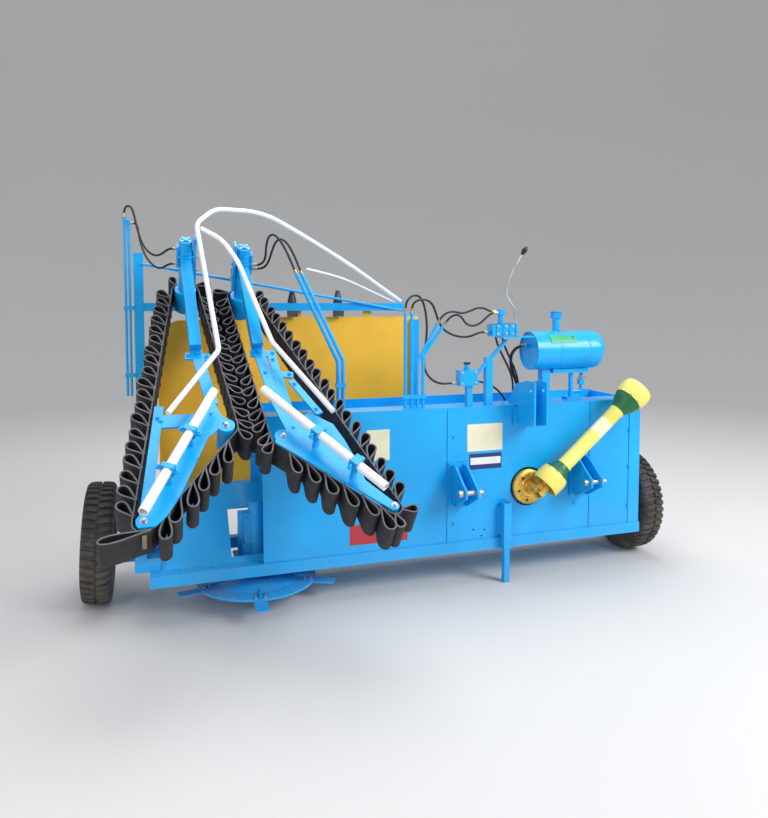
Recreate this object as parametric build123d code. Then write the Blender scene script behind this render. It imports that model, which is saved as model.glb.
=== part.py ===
from build123d import *
import math
import os

# Side-offset, tractor-mounted whole-stalk sugarcane harvester, parked on its two wheels and its leg.
# All lengths are in millimetres and all angles in degrees.
# +X runs along the transverse housing, to the right as seen from the hitch side, +Y to the rear, +Z up.
# The origin is on the ground under the middle of the machine.

# Transverse housing
BOX_LEFT = -1430
FACE_Y = -50
BOX_LENGTH = 3030
BOX_DEPTH = 550
BOX_BOTTOM = 202
BOX_TOP = 1075
WALL = 6
SILL_HEIGHT = 65
SILL_DEPTH = 60
SILL_PROUD = 12
THROAT_WIDTH = 590
THROAT_WALL = 640
TOP_FLANGE = 165
DECK_DROP = 70
RIM_THICKNESS = 8

# Wheels
WHEEL_RADIUS = 335
WHEEL_WIDTH = 165
RIM_RADIUS = 190
SPINDLE_RADIUS = 20
RUNNING_GAP = 0.05
LEFT_WHEEL = (-272, 450)
RIGHT_WHEEL = (3142, 300)
LEFT_CAMBER = 3

# Three-point hitch, category 2
HITCH_CENTRE = 2154
LOWER_PIN_SPREAD = 825
LOWER_PIN_HEIGHT = 606
LOWER_PIN_REACH = 175
LOWER_PIN_RADIUS = 14.2
CLEVIS_GAP = 62
CLEVIS_PLATE = 12
TOP_LINK_CENTRE = 2178
TOP_LINK_HEIGHT = 1178
TOP_LINK_REACH = 165
TOP_LINK_RADIUS = 12.9
TOP_LINK_GAP = 70

# Drive shaft, folded up against the housing
PTO_CENTRE = (2212, 566)
PTO_OPENING = 120
PTO_JOINT_REACH = 130
PTO_LEAN = 40.3
PTO_LENGTH = 915
PTO_TUBE_RADIUS = 44
PTO_BORE = 17.4

# Parking leg
LEG_X = 2046
LEG_SIZE = 36
LEG_SLEEVE = 50
LEG_SLEEVE_TOP = 488
LEG_TOP = 470
LEG_LIFT = 240

# Oil tank
TANK_LEFT = 2280
TANK_LENGTH = 510
TANK_RADIUS = 122
TANK_Y = 130
TANK_HEIGHT = 1392

# Base cutter under the throat
CUTTER_CENTRE = (582, 225)
CUTTER_RADIUS = 336
CUTTER_PLATE_LOW = 104
CUTTER_PLATE = 12
CUTTER_BLADES = 5
CUTTER_BLADE_REACH = 450
CUTTER_SHAFT = 25

# Gathering units: one sloping plane, local x across and s up the slope
SLOPE = 36
PLANE_FOOT = (0, -737, 764)
BELT_WIDTH = 150
BELT_THICKNESS = 5
LOOP_PITCH = 92
LOOP_LENGTH = 96
LOOP_HALF_WIDTH = 27
LOOP_TRAIL = 48

# Each unit's three belt rollers: name, x, s, radius
LEFT_ROLLERS = [("tip", -8, 15, 45), ("throat", 372, 545, 55), ("top", 226, 1705, 75)]
RIGHT_ROLLERS = [("tip", 1085, -25, 45), ("throat", 662, 535, 55), ("top", 548, 1640, 75)]


def at(x, y, z):
    """A point measured from the housing's left end, back from its hitch face and up from the ground."""
    return Vector(BOX_LEFT + x, FACE_Y + y, z)


def block(low, high):
    """A block between two opposite corners."""
    corner = at(*low)
    size = at(*high) - corner
    return Pos(corner + size * 0.5) * Box(size.X, size.Y, size.Z)


def rod(start, end, radius):
    """A straight round bar between two points."""
    way = end - start
    return Solid.make_cylinder(radius, way.length, Plane(origin=start, z_dir=way))


def bar(start, end, width, height, up=Vector(0, 0, 1)):
    """A straight flat bar: width lies across it and height along up."""
    way = (end - start).normalized()
    side = up.cross(way).normalized()
    plane = Plane(origin=(start + end) * 0.5, x_dir=way, z_dir=way.cross(side))
    return plane.location * Box((end - start).length, width, height)


def bent_tube(points, radius, bend, bore=0):
    """A round tube along straight runs joined by arcs."""
    path = FilletPolyline(*points, radius=bend)
    start = Plane(origin=path @ 0, z_dir=path % 0)
    tube = sweep(start * Circle(radius), path=path)
    if bore:
        tube = tube - sweep(start * Circle(bore), path=path)
    return tube


def prism(points, plane, low, high):
    """A prism on a plane: its outline's points, from one height above the plane to another."""
    outline = make_face(Polyline(*points, close=True))
    return plane.offset(low).location * extrude(outline, amount=high - low)


def save(node, *solids):
    """Write one node."""
    pieces = [piece for solid in solids for piece in solid.solids()]
    shape = pieces[0] if len(pieces) == 1 else Compound(pieces)
    export_step(shape, f"parts/{node}.step")


# Housing

def base_frame():
    """Front and rear sills, end sills and the floor sheet, one welded tray."""
    low = BOX_BOTTOM
    high = low + SILL_HEIGHT
    tray = block((0, -SILL_PROUD, low), (BOX_LENGTH, SILL_DEPTH, high))
    tray += block((0, BOX_DEPTH - SILL_DEPTH, low), (BOX_LENGTH, BOX_DEPTH, high))
    tray += block((0, 0, low), (SILL_DEPTH, BOX_DEPTH, high))
    tray += block((BOX_LENGTH - SILL_DEPTH, 0, low), (BOX_LENGTH, BOX_DEPTH, high))
    tray += block((THROAT_WALL, 0, low), (THROAT_WALL + SILL_DEPTH, BOX_DEPTH, high))
    tray += block((THROAT_WALL, 0, low), (BOX_LENGTH, BOX_DEPTH, low + WALL))
    return tray


def front_wall():
    """Hitch face, with the round drive opening and folded seams that stand proud."""
    low = BOX_BOTTOM + SILL_HEIGHT
    wall = block((THROAT_WIDTH, 0, low), (BOX_LENGTH, WALL, BOX_TOP))
    for left, right in FACE_POSTS:
        wall += block((left, -SEAM_PROUD, low), (right, 0, BOX_TOP - RIM_THICKNESS))
    opening = Pos(at(PTO_CENTRE[0], 0, PTO_CENTRE[1])) * Rot(90, 0, 0) * Cylinder(PTO_OPENING, 60)
    return wall - opening


# Raised strips on the hitch face: left and right edge
SEAM_PROUD = 5
FACE_POSTS = [(590, 600), (1674, 1738), (2650, 2658), (2945, 3018)]


def rear_wall():
    """Back of the housing."""
    low = BOX_BOTTOM + SILL_HEIGHT
    return block((THROAT_WIDTH, BOX_DEPTH - WALL, low), (BOX_LENGTH, BOX_DEPTH, BOX_TOP))


def end_walls():
    """The sheet that closes the housing beside the throat, and the right end."""
    low = BOX_BOTTOM + SILL_HEIGHT
    inner = block((THROAT_WALL, WALL, low), (THROAT_WALL + WALL, BOX_DEPTH - WALL, BOX_TOP - DECK_DROP - WALL))
    outer = block(
        (BOX_LENGTH - WALL, WALL, low), (BOX_LENGTH, BOX_DEPTH - WALL, BOX_TOP - RIM_THICKNESS)
    )
    return inner, outer


def top_deck():
    """Front flange, sunk deck and the step between them."""
    left = THROAT_WIDTH
    right = BOX_LENGTH - WALL
    top = BOX_TOP
    deck = BOX_TOP - DECK_DROP
    sheet = block((left, WALL, top - RIM_THICKNESS), (right, TOP_FLANGE, top))
    sheet += block((left, TOP_FLANGE - WALL, deck), (right, TOP_FLANGE, top))
    sheet += block((left, TOP_FLANGE - WALL, deck - WALL), (right, BOX_DEPTH - WALL, deck))
    return sheet


def throat_floor():
    """Sheet that slopes up and back behind the base cutter's spindle."""
    front = BOX_BOTTOM + SILL_HEIGHT
    outline = [(SILL_DEPTH, front), (SILL_DEPTH + 8, front), (460, 600), (540, 600), (540, 606), (456, 606)]
    plane = Plane(origin=at(SILL_DEPTH, 0, 0), x_dir=(0, 1, 0), z_dir=(1, 0, 0))
    sheet = prism(outline, plane, 0, THROAT_WALL - SILL_DEPTH)
    return sheet - block((428, SILL_DEPTH + 30, 240), (THROAT_WALL - 4, 330, 520))


def gearbox():
    """The heavy drive case behind the round opening."""
    x, z = PTO_CENTRE
    case = block((x - 150, 60, z - 130), (x + 150, 380, z + 130))
    feet = block((x - 90, 80, BOX_BOTTOM + WALL), (x + 90, 360, z - 130))
    nose = rod(at(x, -20, z), at(x, 60, z), 48)
    return case + feet + nose


# Hitch

def lower_clevis(centre):
    """Two ears on a face plate, with webs above and below."""
    ears = []
    half = CLEVIS_GAP / 2
    for x in (centre - half - CLEVIS_PLATE, centre + half):
        plane = Plane(origin=at(x, 0, LOWER_PIN_HEIGHT), x_dir=(0, -1, 0), z_dir=(-1, 0, 0))
        ear = make_face(
            Polyline((SEAM_PROUD, -110), (SEAM_PROUD, 130), (60, 130), (LOWER_PIN_REACH, 45),
                     (LOWER_PIN_REACH + 38, 24), (LOWER_PIN_REACH + 38, -24), (LOWER_PIN_REACH, -45), (60, -110),
                     close=True)
        )
        ear -= Pos(LOWER_PIN_REACH, 0) * Circle(LOWER_PIN_RADIUS + 0.3)
        ears.append(plane.location * extrude(ear, amount=-CLEVIS_PLATE))
    bracket = ears[0] + ears[1]
    left = centre - half - CLEVIS_PLATE
    right = centre + half + CLEVIS_PLATE
    bracket += block((left - 20, -SEAM_PROUD - 8, LOWER_PIN_HEIGHT - 120), (right + 20, -SEAM_PROUD, LOWER_PIN_HEIGHT + 140))
    return bracket


def lower_pin(centre):
    """Hitch pin with a head and a knob on its chain side."""
    z = LOWER_PIN_HEIGHT
    half = CLEVIS_GAP / 2 + CLEVIS_PLATE
    y = -LOWER_PIN_REACH
    pin = rod(at(centre - half - 24, y, z), at(centre + half + 34, y, z), LOWER_PIN_RADIUS)
    pin += rod(at(centre - half - 30, y, z), at(centre - half - 2, y, z), 21)
    pin += rod(at(centre + half + 20, y, z - 26), at(centre + half + 20, y, z + 26), 5)
    return pin


def top_link_bracket():
    """Two upright plates on the hitch face, braced back to the front flange."""
    half = TOP_LINK_GAP / 2
    bracket = None
    for x in (TOP_LINK_CENTRE - half - 12, TOP_LINK_CENTRE + half):
        plane = Plane(origin=at(x, 0, 0), x_dir=(0, -1, 0), z_dir=(-1, 0, 0))
        side = make_face(
            Polyline((SEAM_PROUD, 955), (95, 955), (205, 975), (205, 1228), (120, 1232), (-20, 1200), (-120, BOX_TOP),
                     (SEAM_PROUD, BOX_TOP), close=True)
        )
        side -= Pos(TOP_LINK_REACH, TOP_LINK_HEIGHT) * Circle(TOP_LINK_RADIUS)
        plate = plane.location * extrude(side, amount=-12)
        bracket = plate if bracket is None else bracket + plate
    bracket += block(
        (TOP_LINK_CENTRE - half - 40, -SEAM_PROUD - 8, 945), (TOP_LINK_CENTRE + half + 40, -SEAM_PROUD, BOX_TOP - 12)
    )
    return bracket


# Drive shaft

def pto_way():
    turn = math.radians(PTO_LEAN)
    return Vector(math.cos(turn), 0, math.sin(turn))


def pto_across():
    """The folding axis, square to the shaft and along the housing's face."""
    turn = math.radians(PTO_LEAN)
    return Vector(-math.sin(turn), 0, math.cos(turn))


def along_shaft(distance, across=0, out=0):
    """A point at a distance along the shaft from its joint, across it and out from the face."""
    joint = at(PTO_CENTRE[0], -PTO_JOINT_REACH, PTO_CENTRE[1])
    return joint + pto_way() * distance + pto_across() * across - Vector(0, out, 0)


FORK_OFFSET = 34
FORK_THICKNESS = 11
FORK_WIDTH = 30
TRUNNION = 11


def input_yoke():
    """Yoke on the gearbox shaft, its two forks bored for the folding axis."""
    x, z = PTO_CENTRE
    yoke = rod(at(x, -20.2, z), at(x, -PTO_JOINT_REACH + 50, z), 34)
    for side in (-1, 1):
        foot = along_shaft(0, side * FORK_OFFSET, -60)
        eye = along_shaft(0, side * FORK_OFFSET, 17)
        yoke += bar(foot, eye, FORK_WIDTH, FORK_THICKNESS, pto_across())
    return yoke - rod(along_shaft(0, -60), along_shaft(0, 60), TRUNNION + RUNNING_GAP)


def shaft_joint():
    """Cross, shaft-side forks and the inner shaft."""
    reach = FORK_OFFSET + FORK_THICKNESS / 2
    joint = rod(along_shaft(0, -reach), along_shaft(0, reach), TRUNNION)
    joint += rod(along_shaft(0, 0, -reach), along_shaft(0, 0, reach), TRUNNION)
    for side in (-1, 1):
        foot = along_shaft(56, 0, side * FORK_OFFSET)
        eye = along_shaft(-15, 0, side * FORK_OFFSET)
        joint += bar(foot, eye, FORK_WIDTH, FORK_THICKNESS, Vector(0, 1, 0))
    joint += rod(along_shaft(46), along_shaft(64), 40)
    joint += rod(along_shaft(60), along_shaft(PTO_LENGTH - 140), 24)
    return joint


# Drive shaft's guard, the lower and upper covers in steps: distance along the shaft, outer radius
LOWER_GUARD = [(50, 88), (80, 88), (130, 78), (175, 62), (235, 47)]
UPPER_GUARD = [(650, 47), (710, 60), (775, 84), (850, 94), (915, 96)]
GUARD_WALL = 4
GUARD_TUBE = 44


def cover(rows):
    """A thin revolved cover on the shaft's axis."""
    inner = [(radius - GUARD_WALL, place) for place, radius in reversed(rows)]
    face = make_face(Polyline(*[(radius, place) for place, radius in rows], *inner, close=True))
    turned = revolve(Plane.XZ * face, axis=Axis.Z)
    return Plane(origin=along_shaft(0), z_dir=pto_way()).location * turned


def shaft_guard():
    """Plastic covers at both ends and the tube between them, with a collar that rides on the shaft."""
    low = LOWER_GUARD[-1][0]
    high = UPPER_GUARD[0][0]
    tube = rod(along_shaft(low - 10), along_shaft(high + 10), GUARD_TUBE)
    tube -= rod(along_shaft(low - 20), along_shaft(high + 20), GUARD_TUBE - GUARD_WALL)
    collar = rod(along_shaft(low + 30), along_shaft(low + 60), GUARD_TUBE - 1)
    collar -= rod(along_shaft(low + 20), along_shaft(low + 70), 24.2)
    return tube + collar + cover(LOWER_GUARD) + cover(UPPER_GUARD)


def end_yoke():
    """Tractor-side yoke with its splined bore."""
    end = rod(along_shaft(PTO_LENGTH - 139.8), along_shaft(PTO_LENGTH + 5), 36)
    return end - rod(along_shaft(PTO_LENGTH - 75), along_shaft(PTO_LENGTH + 10), PTO_BORE)


# Parking leg

def leg_sleeve():
    """Square sleeve on a face bracket."""
    half = LEG_SLEEVE / 2
    y = -SILL_PROUD
    low = BOX_BOTTOM + 4
    sleeve = block((LEG_X - half, y - LEG_SLEEVE, low), (LEG_X + half, y, LEG_SLEEVE_TOP))
    gap = LEG_SIZE / 2 + 1
    centre = y - half
    sleeve -= block((LEG_X - gap, centre - gap, low - 5), (LEG_X + gap, centre + gap, LEG_SLEEVE_TOP + 5))
    strap = block((LEG_X - 45, y, BOX_BOTTOM + SILL_HEIGHT + 20), (LEG_X + 45, 0, LEG_SLEEVE_TOP - 30))
    return sleeve + strap


def parking_leg():
    half = LEG_SIZE / 2
    centre = -SILL_PROUD - LEG_SLEEVE / 2
    leg = block((LEG_X - half, centre - half, 0), (LEG_X + half, centre + half, LEG_TOP))
    return leg


# Wheels

# Tyre section: distance across from the middle, radius
TREAD_FLAT = 30
TYRE_SECTION = [(-62, 192), (-82, 238), (-80, 288), (-64, 326), (-30, 335), (30, 335), (64, 326), (80, 288),
                (82, 238), (62, 192)]


def tyre():
    """Tyre about the X axis."""
    face = make_face(Polyline(*TYRE_SECTION, close=True))
    return revolve(Plane.XY * face, axis=Axis.X)


def rim():
    """Dished wheel with its hub, about the X axis."""
    section = [(-62, 170), (-62, 191.7), (62, 191.7), (62, 170), (20, 160), (12, 70), (50, 48), (50, 0), (-46, 0),
               (-46, 48), (4, 70), (12, 168)]
    face = make_face(Polyline(*section, close=True))
    wheel = revolve(Plane.XY * face, axis=Axis.X)
    bore = Rot(0, 90, 0) * Cylinder(SPINDLE_RADIUS + RUNNING_GAP, 300)
    return wheel - bore


def wheel_place(centre, camber):
    x, y = centre
    turn = math.radians(camber)
    height = WHEEL_RADIUS * math.cos(turn) + TREAD_FLAT * math.sin(turn)
    return Pos(at(x, y, height)) * Rot(0, camber, 0)


def left_axle():
    """Stub spindle on an arm that reaches out from the housing's left rear corner."""
    x, y = LEFT_WHEEL
    place = wheel_place(LEFT_WHEEL, LEFT_CAMBER)
    spindle = place * Pos(60, 0, 0) * Rot(0, 90, 0) * Cylinder(SPINDLE_RADIUS, 235)
    post = block((-150, y - 40, BOX_BOTTOM + 10), (-84, y + 40, 420))
    arm = block((-84, y - 30, BOX_BOTTOM + 12), (0, y + 30, BOX_BOTTOM + 60))
    return spindle + post + arm


def right_axle():
    """Stub spindle on a plate bolted to the housing's right end."""
    x, y = RIGHT_WHEEL
    place = wheel_place(RIGHT_WHEEL, 0)
    spindle = place * Pos(-27, 0, 0) * Rot(0, 90, 0) * Cylinder(SPINDLE_RADIUS, 170)
    plate = block((BOX_LENGTH, y - 70, WHEEL_RADIUS - 80), (BOX_LENGTH + 12, y + 70, WHEEL_RADIUS + 80))
    return spindle + plate


# Base cutter

def cutter_disc():
    """Flanged disc with a raised hub and a stub shaft."""
    x, y = CUTTER_CENTRE
    low = CUTTER_PLATE_LOW
    section = [(0, low), (CUTTER_RADIUS, low), (CUTTER_RADIUS, low + CUTTER_PLATE), (250, low + CUTTER_PLATE + 4),
               (150, low + 46), (70, low + 50), (70, low + 62), (0, low + 62)]
    face = make_face(Polyline(*section, close=True))
    disc = Pos(at(x, y, 0)) * revolve(Plane.XZ * face, axis=Axis.Z)
    shaft = rod(at(x, y, low + 60), at(x, y, 330), CUTTER_SHAFT)
    return disc + shaft


def cutter_blades():
    """Flat blades bolted under the disc's edge."""
    x, y = CUTTER_CENTRE
    blades = []
    for number in range(CUTTER_BLADES):
        turn = 194 + 360 / CUTTER_BLADES * number
        blade = Pos(CUTTER_BLADE_REACH - 90, 0, CUTTER_PLATE_LOW - 4.2) * Box(180, 70, 8)
        blades.append(Pos(at(x, y, 0)) * Rot(0, 0, turn) * blade)
    return blades


def cutter_spindle():
    """Bearing housing that carries the cutter's shaft, with its flange on the throat floor frame."""
    x, y = CUTTER_CENTRE
    housing = rod(at(x, y, 172), at(x, y, 560), 48)
    housing += block((x - 120, SILL_DEPTH, BOX_BOTTOM + WALL), (THROAT_WALL, y + 170, BOX_BOTTOM + 18))
    housing -= rod(at(x, y, 160), at(x, y, 331), CUTTER_SHAFT + RUNNING_GAP)
    return housing


# Gathering units

def gather_plane():
    x, y, z = PLANE_FOOT
    turn = math.radians(SLOPE)
    return Plane(origin=at(x, y, z), x_dir=(1, 0, 0), z_dir=(0, -math.sin(turn), math.cos(turn)))


def on_slope(x, s, lift=0):
    """A point on the gathering plane, x across from the housing's left end, s up the slope."""
    return gather_plane().from_local_coords(Vector(x, s, lift))


def belt_line(rollers, clockwise):
    """Straight stretches of a belt round its rollers: start, end, direction, outward normal."""
    order = list(rollers)
    stretches = []
    for number, (_, x, s, radius) in enumerate(order):
        _, next_x, next_s, next_radius = order[(number + 1) % len(order)]
        gap = Vector(next_x - x, next_s - s)
        tilt = math.degrees(math.asin((radius - next_radius) / gap.length))
        way = gap.normalized()
        out = way.rotate(Axis.Z, 90 if clockwise else -90)
        out = out.rotate(Axis.Z, -tilt if clockwise else tilt)
        start = Vector(x, s) + out * radius
        end = Vector(next_x, next_s) + out * next_radius
        stretches.append((start, end, (end - start).normalized(), out))
    return stretches


def belt_places(rollers, clockwise):
    """Points at even pitch along the belt, each with its outward normal."""
    stretches = belt_line(rollers, clockwise)
    pieces = []
    for number, (start, end, way, out) in enumerate(stretches):
        _, x, s, radius = rollers[(number + 1) % len(rollers)]
        next_out = stretches[(number + 1) % len(stretches)][3]
        turn = math.radians(out.get_angle(next_out))
        pieces.append(("run", start, end, out, (end - start).length))
        pieces.append(("arc", Vector(x, s), radius, out, turn * radius))
    total = sum(piece[4] for piece in pieces)
    count = round(total / LOOP_PITCH)
    places = []
    for number in range(count):
        left = (number + 0.5) * total / count
        for kind, first, second, out, length in pieces:
            if left <= length:
                break
            left -= length
        if kind == "run":
            places.append((first + (second - first) * (left / length), out))
        else:
            turned = out.rotate(Axis.Z, math.degrees(left / second) * (-1 if clockwise else 1))
            places.append((first + turned * second, turned))
    return places


# A loop's outline from its root: along, half width
LOOP_OUTLINE = [(0.0, 3), (0.5, 17), (0.82, LOOP_HALF_WIDTH), (1.0, 12)]


def belt_loop(place, out, trail):
    """One folded loop of the belt, as a flat ring on the gathering plane."""
    along = out.rotate(Axis.Z, trail)
    side = along.rotate(Axis.Z, 90)
    outer = [place + along * (LOOP_LENGTH * part) + side * half for part, half in LOOP_OUTLINE]
    outer += [place + along * (LOOP_LENGTH * part) - side * half for part, half in reversed(LOOP_OUTLINE)]
    ring = make_face(Polyline(*outer, close=True))
    inner = [place + along * (LOOP_LENGTH * part) + side * half for part, half in LOOP_HOLE]
    return ring - make_face(Polyline(*inner, close=True))


LOOP_HOLE = [(0.12, 0), (0.5, 11), (0.8, 21), (0.94, 8), (0.94, -8), (0.8, -21), (0.5, -11)]


def belt(rollers, clockwise):
    """The whole belt: a closed band round the rollers with a loop at each pitch."""
    face = hull_face(rollers, clockwise, BELT_THICKNESS) - hull_face(rollers, clockwise, 0)
    trail = -LOOP_TRAIL if clockwise else LOOP_TRAIL
    for place, out in belt_places(rollers, clockwise):
        face += belt_loop(place, out, -trail)
    plane = gather_plane()
    return plane.offset(-BELT_WIDTH).location * extrude(face, amount=BELT_WIDTH)


def hull_face(rollers, clockwise, grow):
    """The area inside the belt, its arcs as short flats."""
    points = []
    stretches = belt_line([(name, x, s, radius + grow) for name, x, s, radius in rollers], clockwise)
    for number, (start, end, way, out) in enumerate(stretches):
        _, x, s, radius = rollers[(number + 1) % len(rollers)]
        next_out = stretches[(number + 1) % len(stretches)][3]
        turn = out.get_angle(next_out)
        steps = max(2, round(turn / 25))
        points.append(start)
        for step in range(steps):
            turned = out.rotate(Axis.Z, turn * step / steps * (-1 if clockwise else 1))
            points.append(Vector(x, s) + turned * (radius + grow))
    return make_face(Polyline(*points, close=True))


# Gathering frames, flat bars on the slope inside each belt: x, s, x, s, width
LEFT_BARS = [(-8, 15, 62, 700, 44), (26, 60, 318, 735, 74), (318, 700, 255, 1150, 60), (40, 596, 276, 596, 84),
             (296, 640, 372, 545, 70), (200, 1086, 330, 1070, 54)]
RIGHT_BARS = [(1072, -4, 702, 530, 76), (706, 500, 640, 760, 90), (640, 720, 590, 1150, 60),
              (662, 1100, 700, 560, 46), (742, 920, 850, 640, 40), (590, 930, 760, 905, 44),
              (548, 1100, 690, 1090, 54)]
FRAME_THICKNESS = 12
COLUMN_SIZE = 62
HEAD_LIFT = 262
HEAD_RADIUS = 40
MOTOR_RADIUS = 37
MOTOR_TOP = 352
ROLLER_DEPTH = 135


def gather_frame(bars, rollers, column_foot):
    """Flat bars, roller hubs, the shaft housing at the top and the column that braces it."""
    frame = None
    half = FRAME_THICKNESS / 2
    up = gather_plane().z_dir
    for x, s, end_x, end_s, width in bars:
        piece = bar(on_slope(x, s), on_slope(end_x, end_s), width, FRAME_THICKNESS, up)
        frame = piece if frame is None else frame + piece
    for _, x, s, radius in rollers:
        frame += rod(on_slope(x, s, -ROLLER_DEPTH), on_slope(x, s, half), radius - 12)
    _, top_x, top_s, _ = rollers[2]
    frame += rod(on_slope(top_x, top_s, -ROLLER_DEPTH), on_slope(top_x, top_s, HEAD_LIFT), HEAD_RADIUS)
    foot = on_slope(column_foot[0], column_foot[1], 30)
    head = on_slope(top_x - 4, top_s + 10, HEAD_LIFT - 30)
    frame += bar(foot, head, COLUMN_SIZE, COLUMN_SIZE, up)
    return frame


LEFT_COLUMN_FOOT = (255, 1120)
RIGHT_COLUMN_FOOT = (590, 1125)


def gather_motors():
    """A hydraulic motor on each shaft housing, with its port block."""
    motors = []
    for rollers, side in ((LEFT_ROLLERS, -1), (RIGHT_ROLLERS, 1)):
        _, x, s, _ = rollers[2]
        body = rod(on_slope(x, s, HEAD_LIFT + 0.2), on_slope(x, s, MOTOR_TOP), MOTOR_RADIUS)
        body += bar(
            on_slope(x, s, HEAD_LIFT + 40), on_slope(x + side * 62, s, HEAD_LIFT + 40), 44, 44, gather_plane().z_dir
        )
        motors.append(body)
    return motors


# Guard pipes
PIPE_RADIUS = 22
PIPE_BORE = 19
ARCH_RADIUS = 14
PIPE_LIFT = 100


def guard_pipes():
    """Straight hollow pipes along the front of both units, on their clamps."""
    left = (on_slope(321, 695, PIPE_LIFT), on_slope(-8, -10, PIPE_LIFT))
    right = (on_slope(563, 696, PIPE_LIFT), on_slope(1036, 13, PIPE_LIFT))
    pipes = [rod(*ends, PIPE_RADIUS) - rod(*ends, PIPE_BORE) for ends in (left, right)]
    return pipes


# Clamp places on the slope: x, s
PIPE_CLAMPS = [(196, 430), (94, 208), (790, 368), (921, 179)]


def guard_clamps():
    """Posts from the frames up to each straight guard pipe, with a ring round the pipe."""
    clamps = []
    ends = {True: ((321, 695), (-8, -10)), False: ((563, 696), (1036, 13))}
    for x, s in PIPE_CLAMPS:
        (first_x, first_s), (last_x, last_s) = ends[x < 500]
        way = (on_slope(last_x, last_s) - on_slope(first_x, first_s)).normalized()
        part = (x - first_x) / (last_x - first_x)
        centre = on_slope(x, first_s + (last_s - first_s) * part, PIPE_LIFT)
        ring = rod(centre - way * 18, centre + way * 18, PIPE_RADIUS + 6)
        post = bar(
            centre - gather_plane().z_dir * (PIPE_LIFT - FRAME_THICKNESS / 2), centre, 30, 20, way
        )
        clamps.append(ring + post - rod(centre - way * 60, centre + way * 60, PIPE_RADIUS))
    return clamps


def guard_arch():
    """The two bent guards: each runs up the front, over the heads and back to the rear beam."""
    left = [on_slope(101, 555, PIPE_LIFT), on_slope(369, 1013, PIPE_LIFT), at(285, 450, 2150), at(397, 500, 2243),
            at(672, 500, 2237), at(903, 520, 2119), at(1247, 640, 1945), at(1690, 893, 1707)]
    right = [on_slope(890, 516, PIPE_LIFT), on_slope(658, 1073, PIPE_LIFT), at(505, 300, 1923), at(426, 380, 2054),
             at(312, 445, 2120)]
    return bent_tube(left, ARCH_RADIUS, 45), bent_tube(right, ARCH_RADIUS, 40)


# Rear mast, beam and guide sheets
MAST_X = -46
MAST_Y = 900
MAST_SIZE = 58
MAST_TOP = 2003
BEAM_TOP = 1692
BEAM_BOTTOM = 1640
BEAM_RIGHT = 1715
PANEL_LEFT = 650
PANEL_RIGHT = 1838
PANEL_BOTTOM = 1000
PANEL_TOP = 1598
PANEL_WALL = 4


def rear_mast():
    """Post, ground arms, crossbeam, the two uprights behind the heads and the stay."""
    half = MAST_SIZE / 2
    back = MAST_Y + half
    mast = block((MAST_X - half, MAST_Y - half, 260), (MAST_X + half, back, MAST_TOP))
    floor = BOX_BOTTOM + SILL_HEIGHT
    mast += block((MAST_X - half, 60, floor), (MAST_X + half, back, floor + 52))
    for front in (60, 380):
        mast += block((MAST_X, front, floor), (SILL_DEPTH - 4, front + 60, floor + 52))
    mast += block((MAST_X, MAST_Y - 25, BEAM_BOTTOM), (BEAM_RIGHT, MAST_Y + 25, BEAM_TOP))
    for rollers in (LEFT_ROLLERS, RIGHT_ROLLERS):
        _, x, s, _ = rollers[2]
        head = on_slope(x, s, HEAD_LIFT - 60)
        level = head.Z
        mast += block((x - 25, MAST_Y - 25, BEAM_TOP - 5), (x + 25, MAST_Y + 25, level + 25))
        mast += bar(Vector(head.X, head.Y, level), at(x, MAST_Y, level), 44, 44)
        mast -= rod(on_slope(x, s, 100), on_slope(x, s, 350), HEAD_RADIUS)
    return mast


def panel_post():
    """Post that holds the right end of the rear panel, on an arm from the housing's back."""
    post = block((PANEL_RIGHT - 60, BOX_DEPTH, 960), (PANEL_RIGHT - 10, MAST_Y + 25, 1000))
    return post + block((PANEL_RIGHT - 60, MAST_Y - 25, 960), (PANEL_RIGHT - 10, MAST_Y + 25, PANEL_TOP - 20))


def stay_rod():
    y = MAST_Y - MAST_SIZE / 2 - 9
    return rod(at(-30, y, 1935), at(BEAM_RIGHT - 15, y, 1640), 9)


def rear_panel():
    """Flat guide sheet behind the housing, hung from the beam on brackets."""
    front = MAST_Y + 25.2
    panel = block((PANEL_LEFT, front, PANEL_BOTTOM), (PANEL_RIGHT, front + PANEL_WALL, PANEL_TOP))
    panel += block((PANEL_LEFT, front, PANEL_TOP - 4), (PANEL_RIGHT, front + 24, PANEL_TOP))
    for x in (930, 1428):
        panel += block((x, front, PANEL_TOP - 60), (x + 60, front + 8, BEAM_TOP - 20))
    return panel


def rear_hood():
    """Guide sheet behind the throat: its left end curves forward and its top corner is rounded."""
    back = MAST_Y - 27
    outer = ThreePointArc((60, back - 290), (150, back - 85), (350, back))
    plan = make_face(
        outer + Line((350, back), (PANEL_LEFT, back)) + Line((PANEL_LEFT, back), (PANEL_LEFT, back - 4))
        + Line((PANEL_LEFT, back - 4), (350, back - 4)) + ThreePointArc((350, back - 4), (153, back - 88), (64, back - 290))
        + Line((64, back - 290), (60, back - 290))
    )
    sheet = Pos(at(0, 0, 420)) * extrude(plan, amount=1582 - 420)
    corner = make_face(
        Line((0, 1600), (0, 1440)) + ThreePointArc((0, 1440), (90, 1540), (300, 1583)) + Line((300, 1583), (300, 1600))
        + Line((300, 1600), (0, 1600))
    )
    plane = Plane(origin=at(0, MAST_Y, 0), x_dir=(1, 0, 0), z_dir=(0, -1, 0))
    return sheet - plane.location * extrude(corner, amount=900)


# Oil tank and valves

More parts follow.
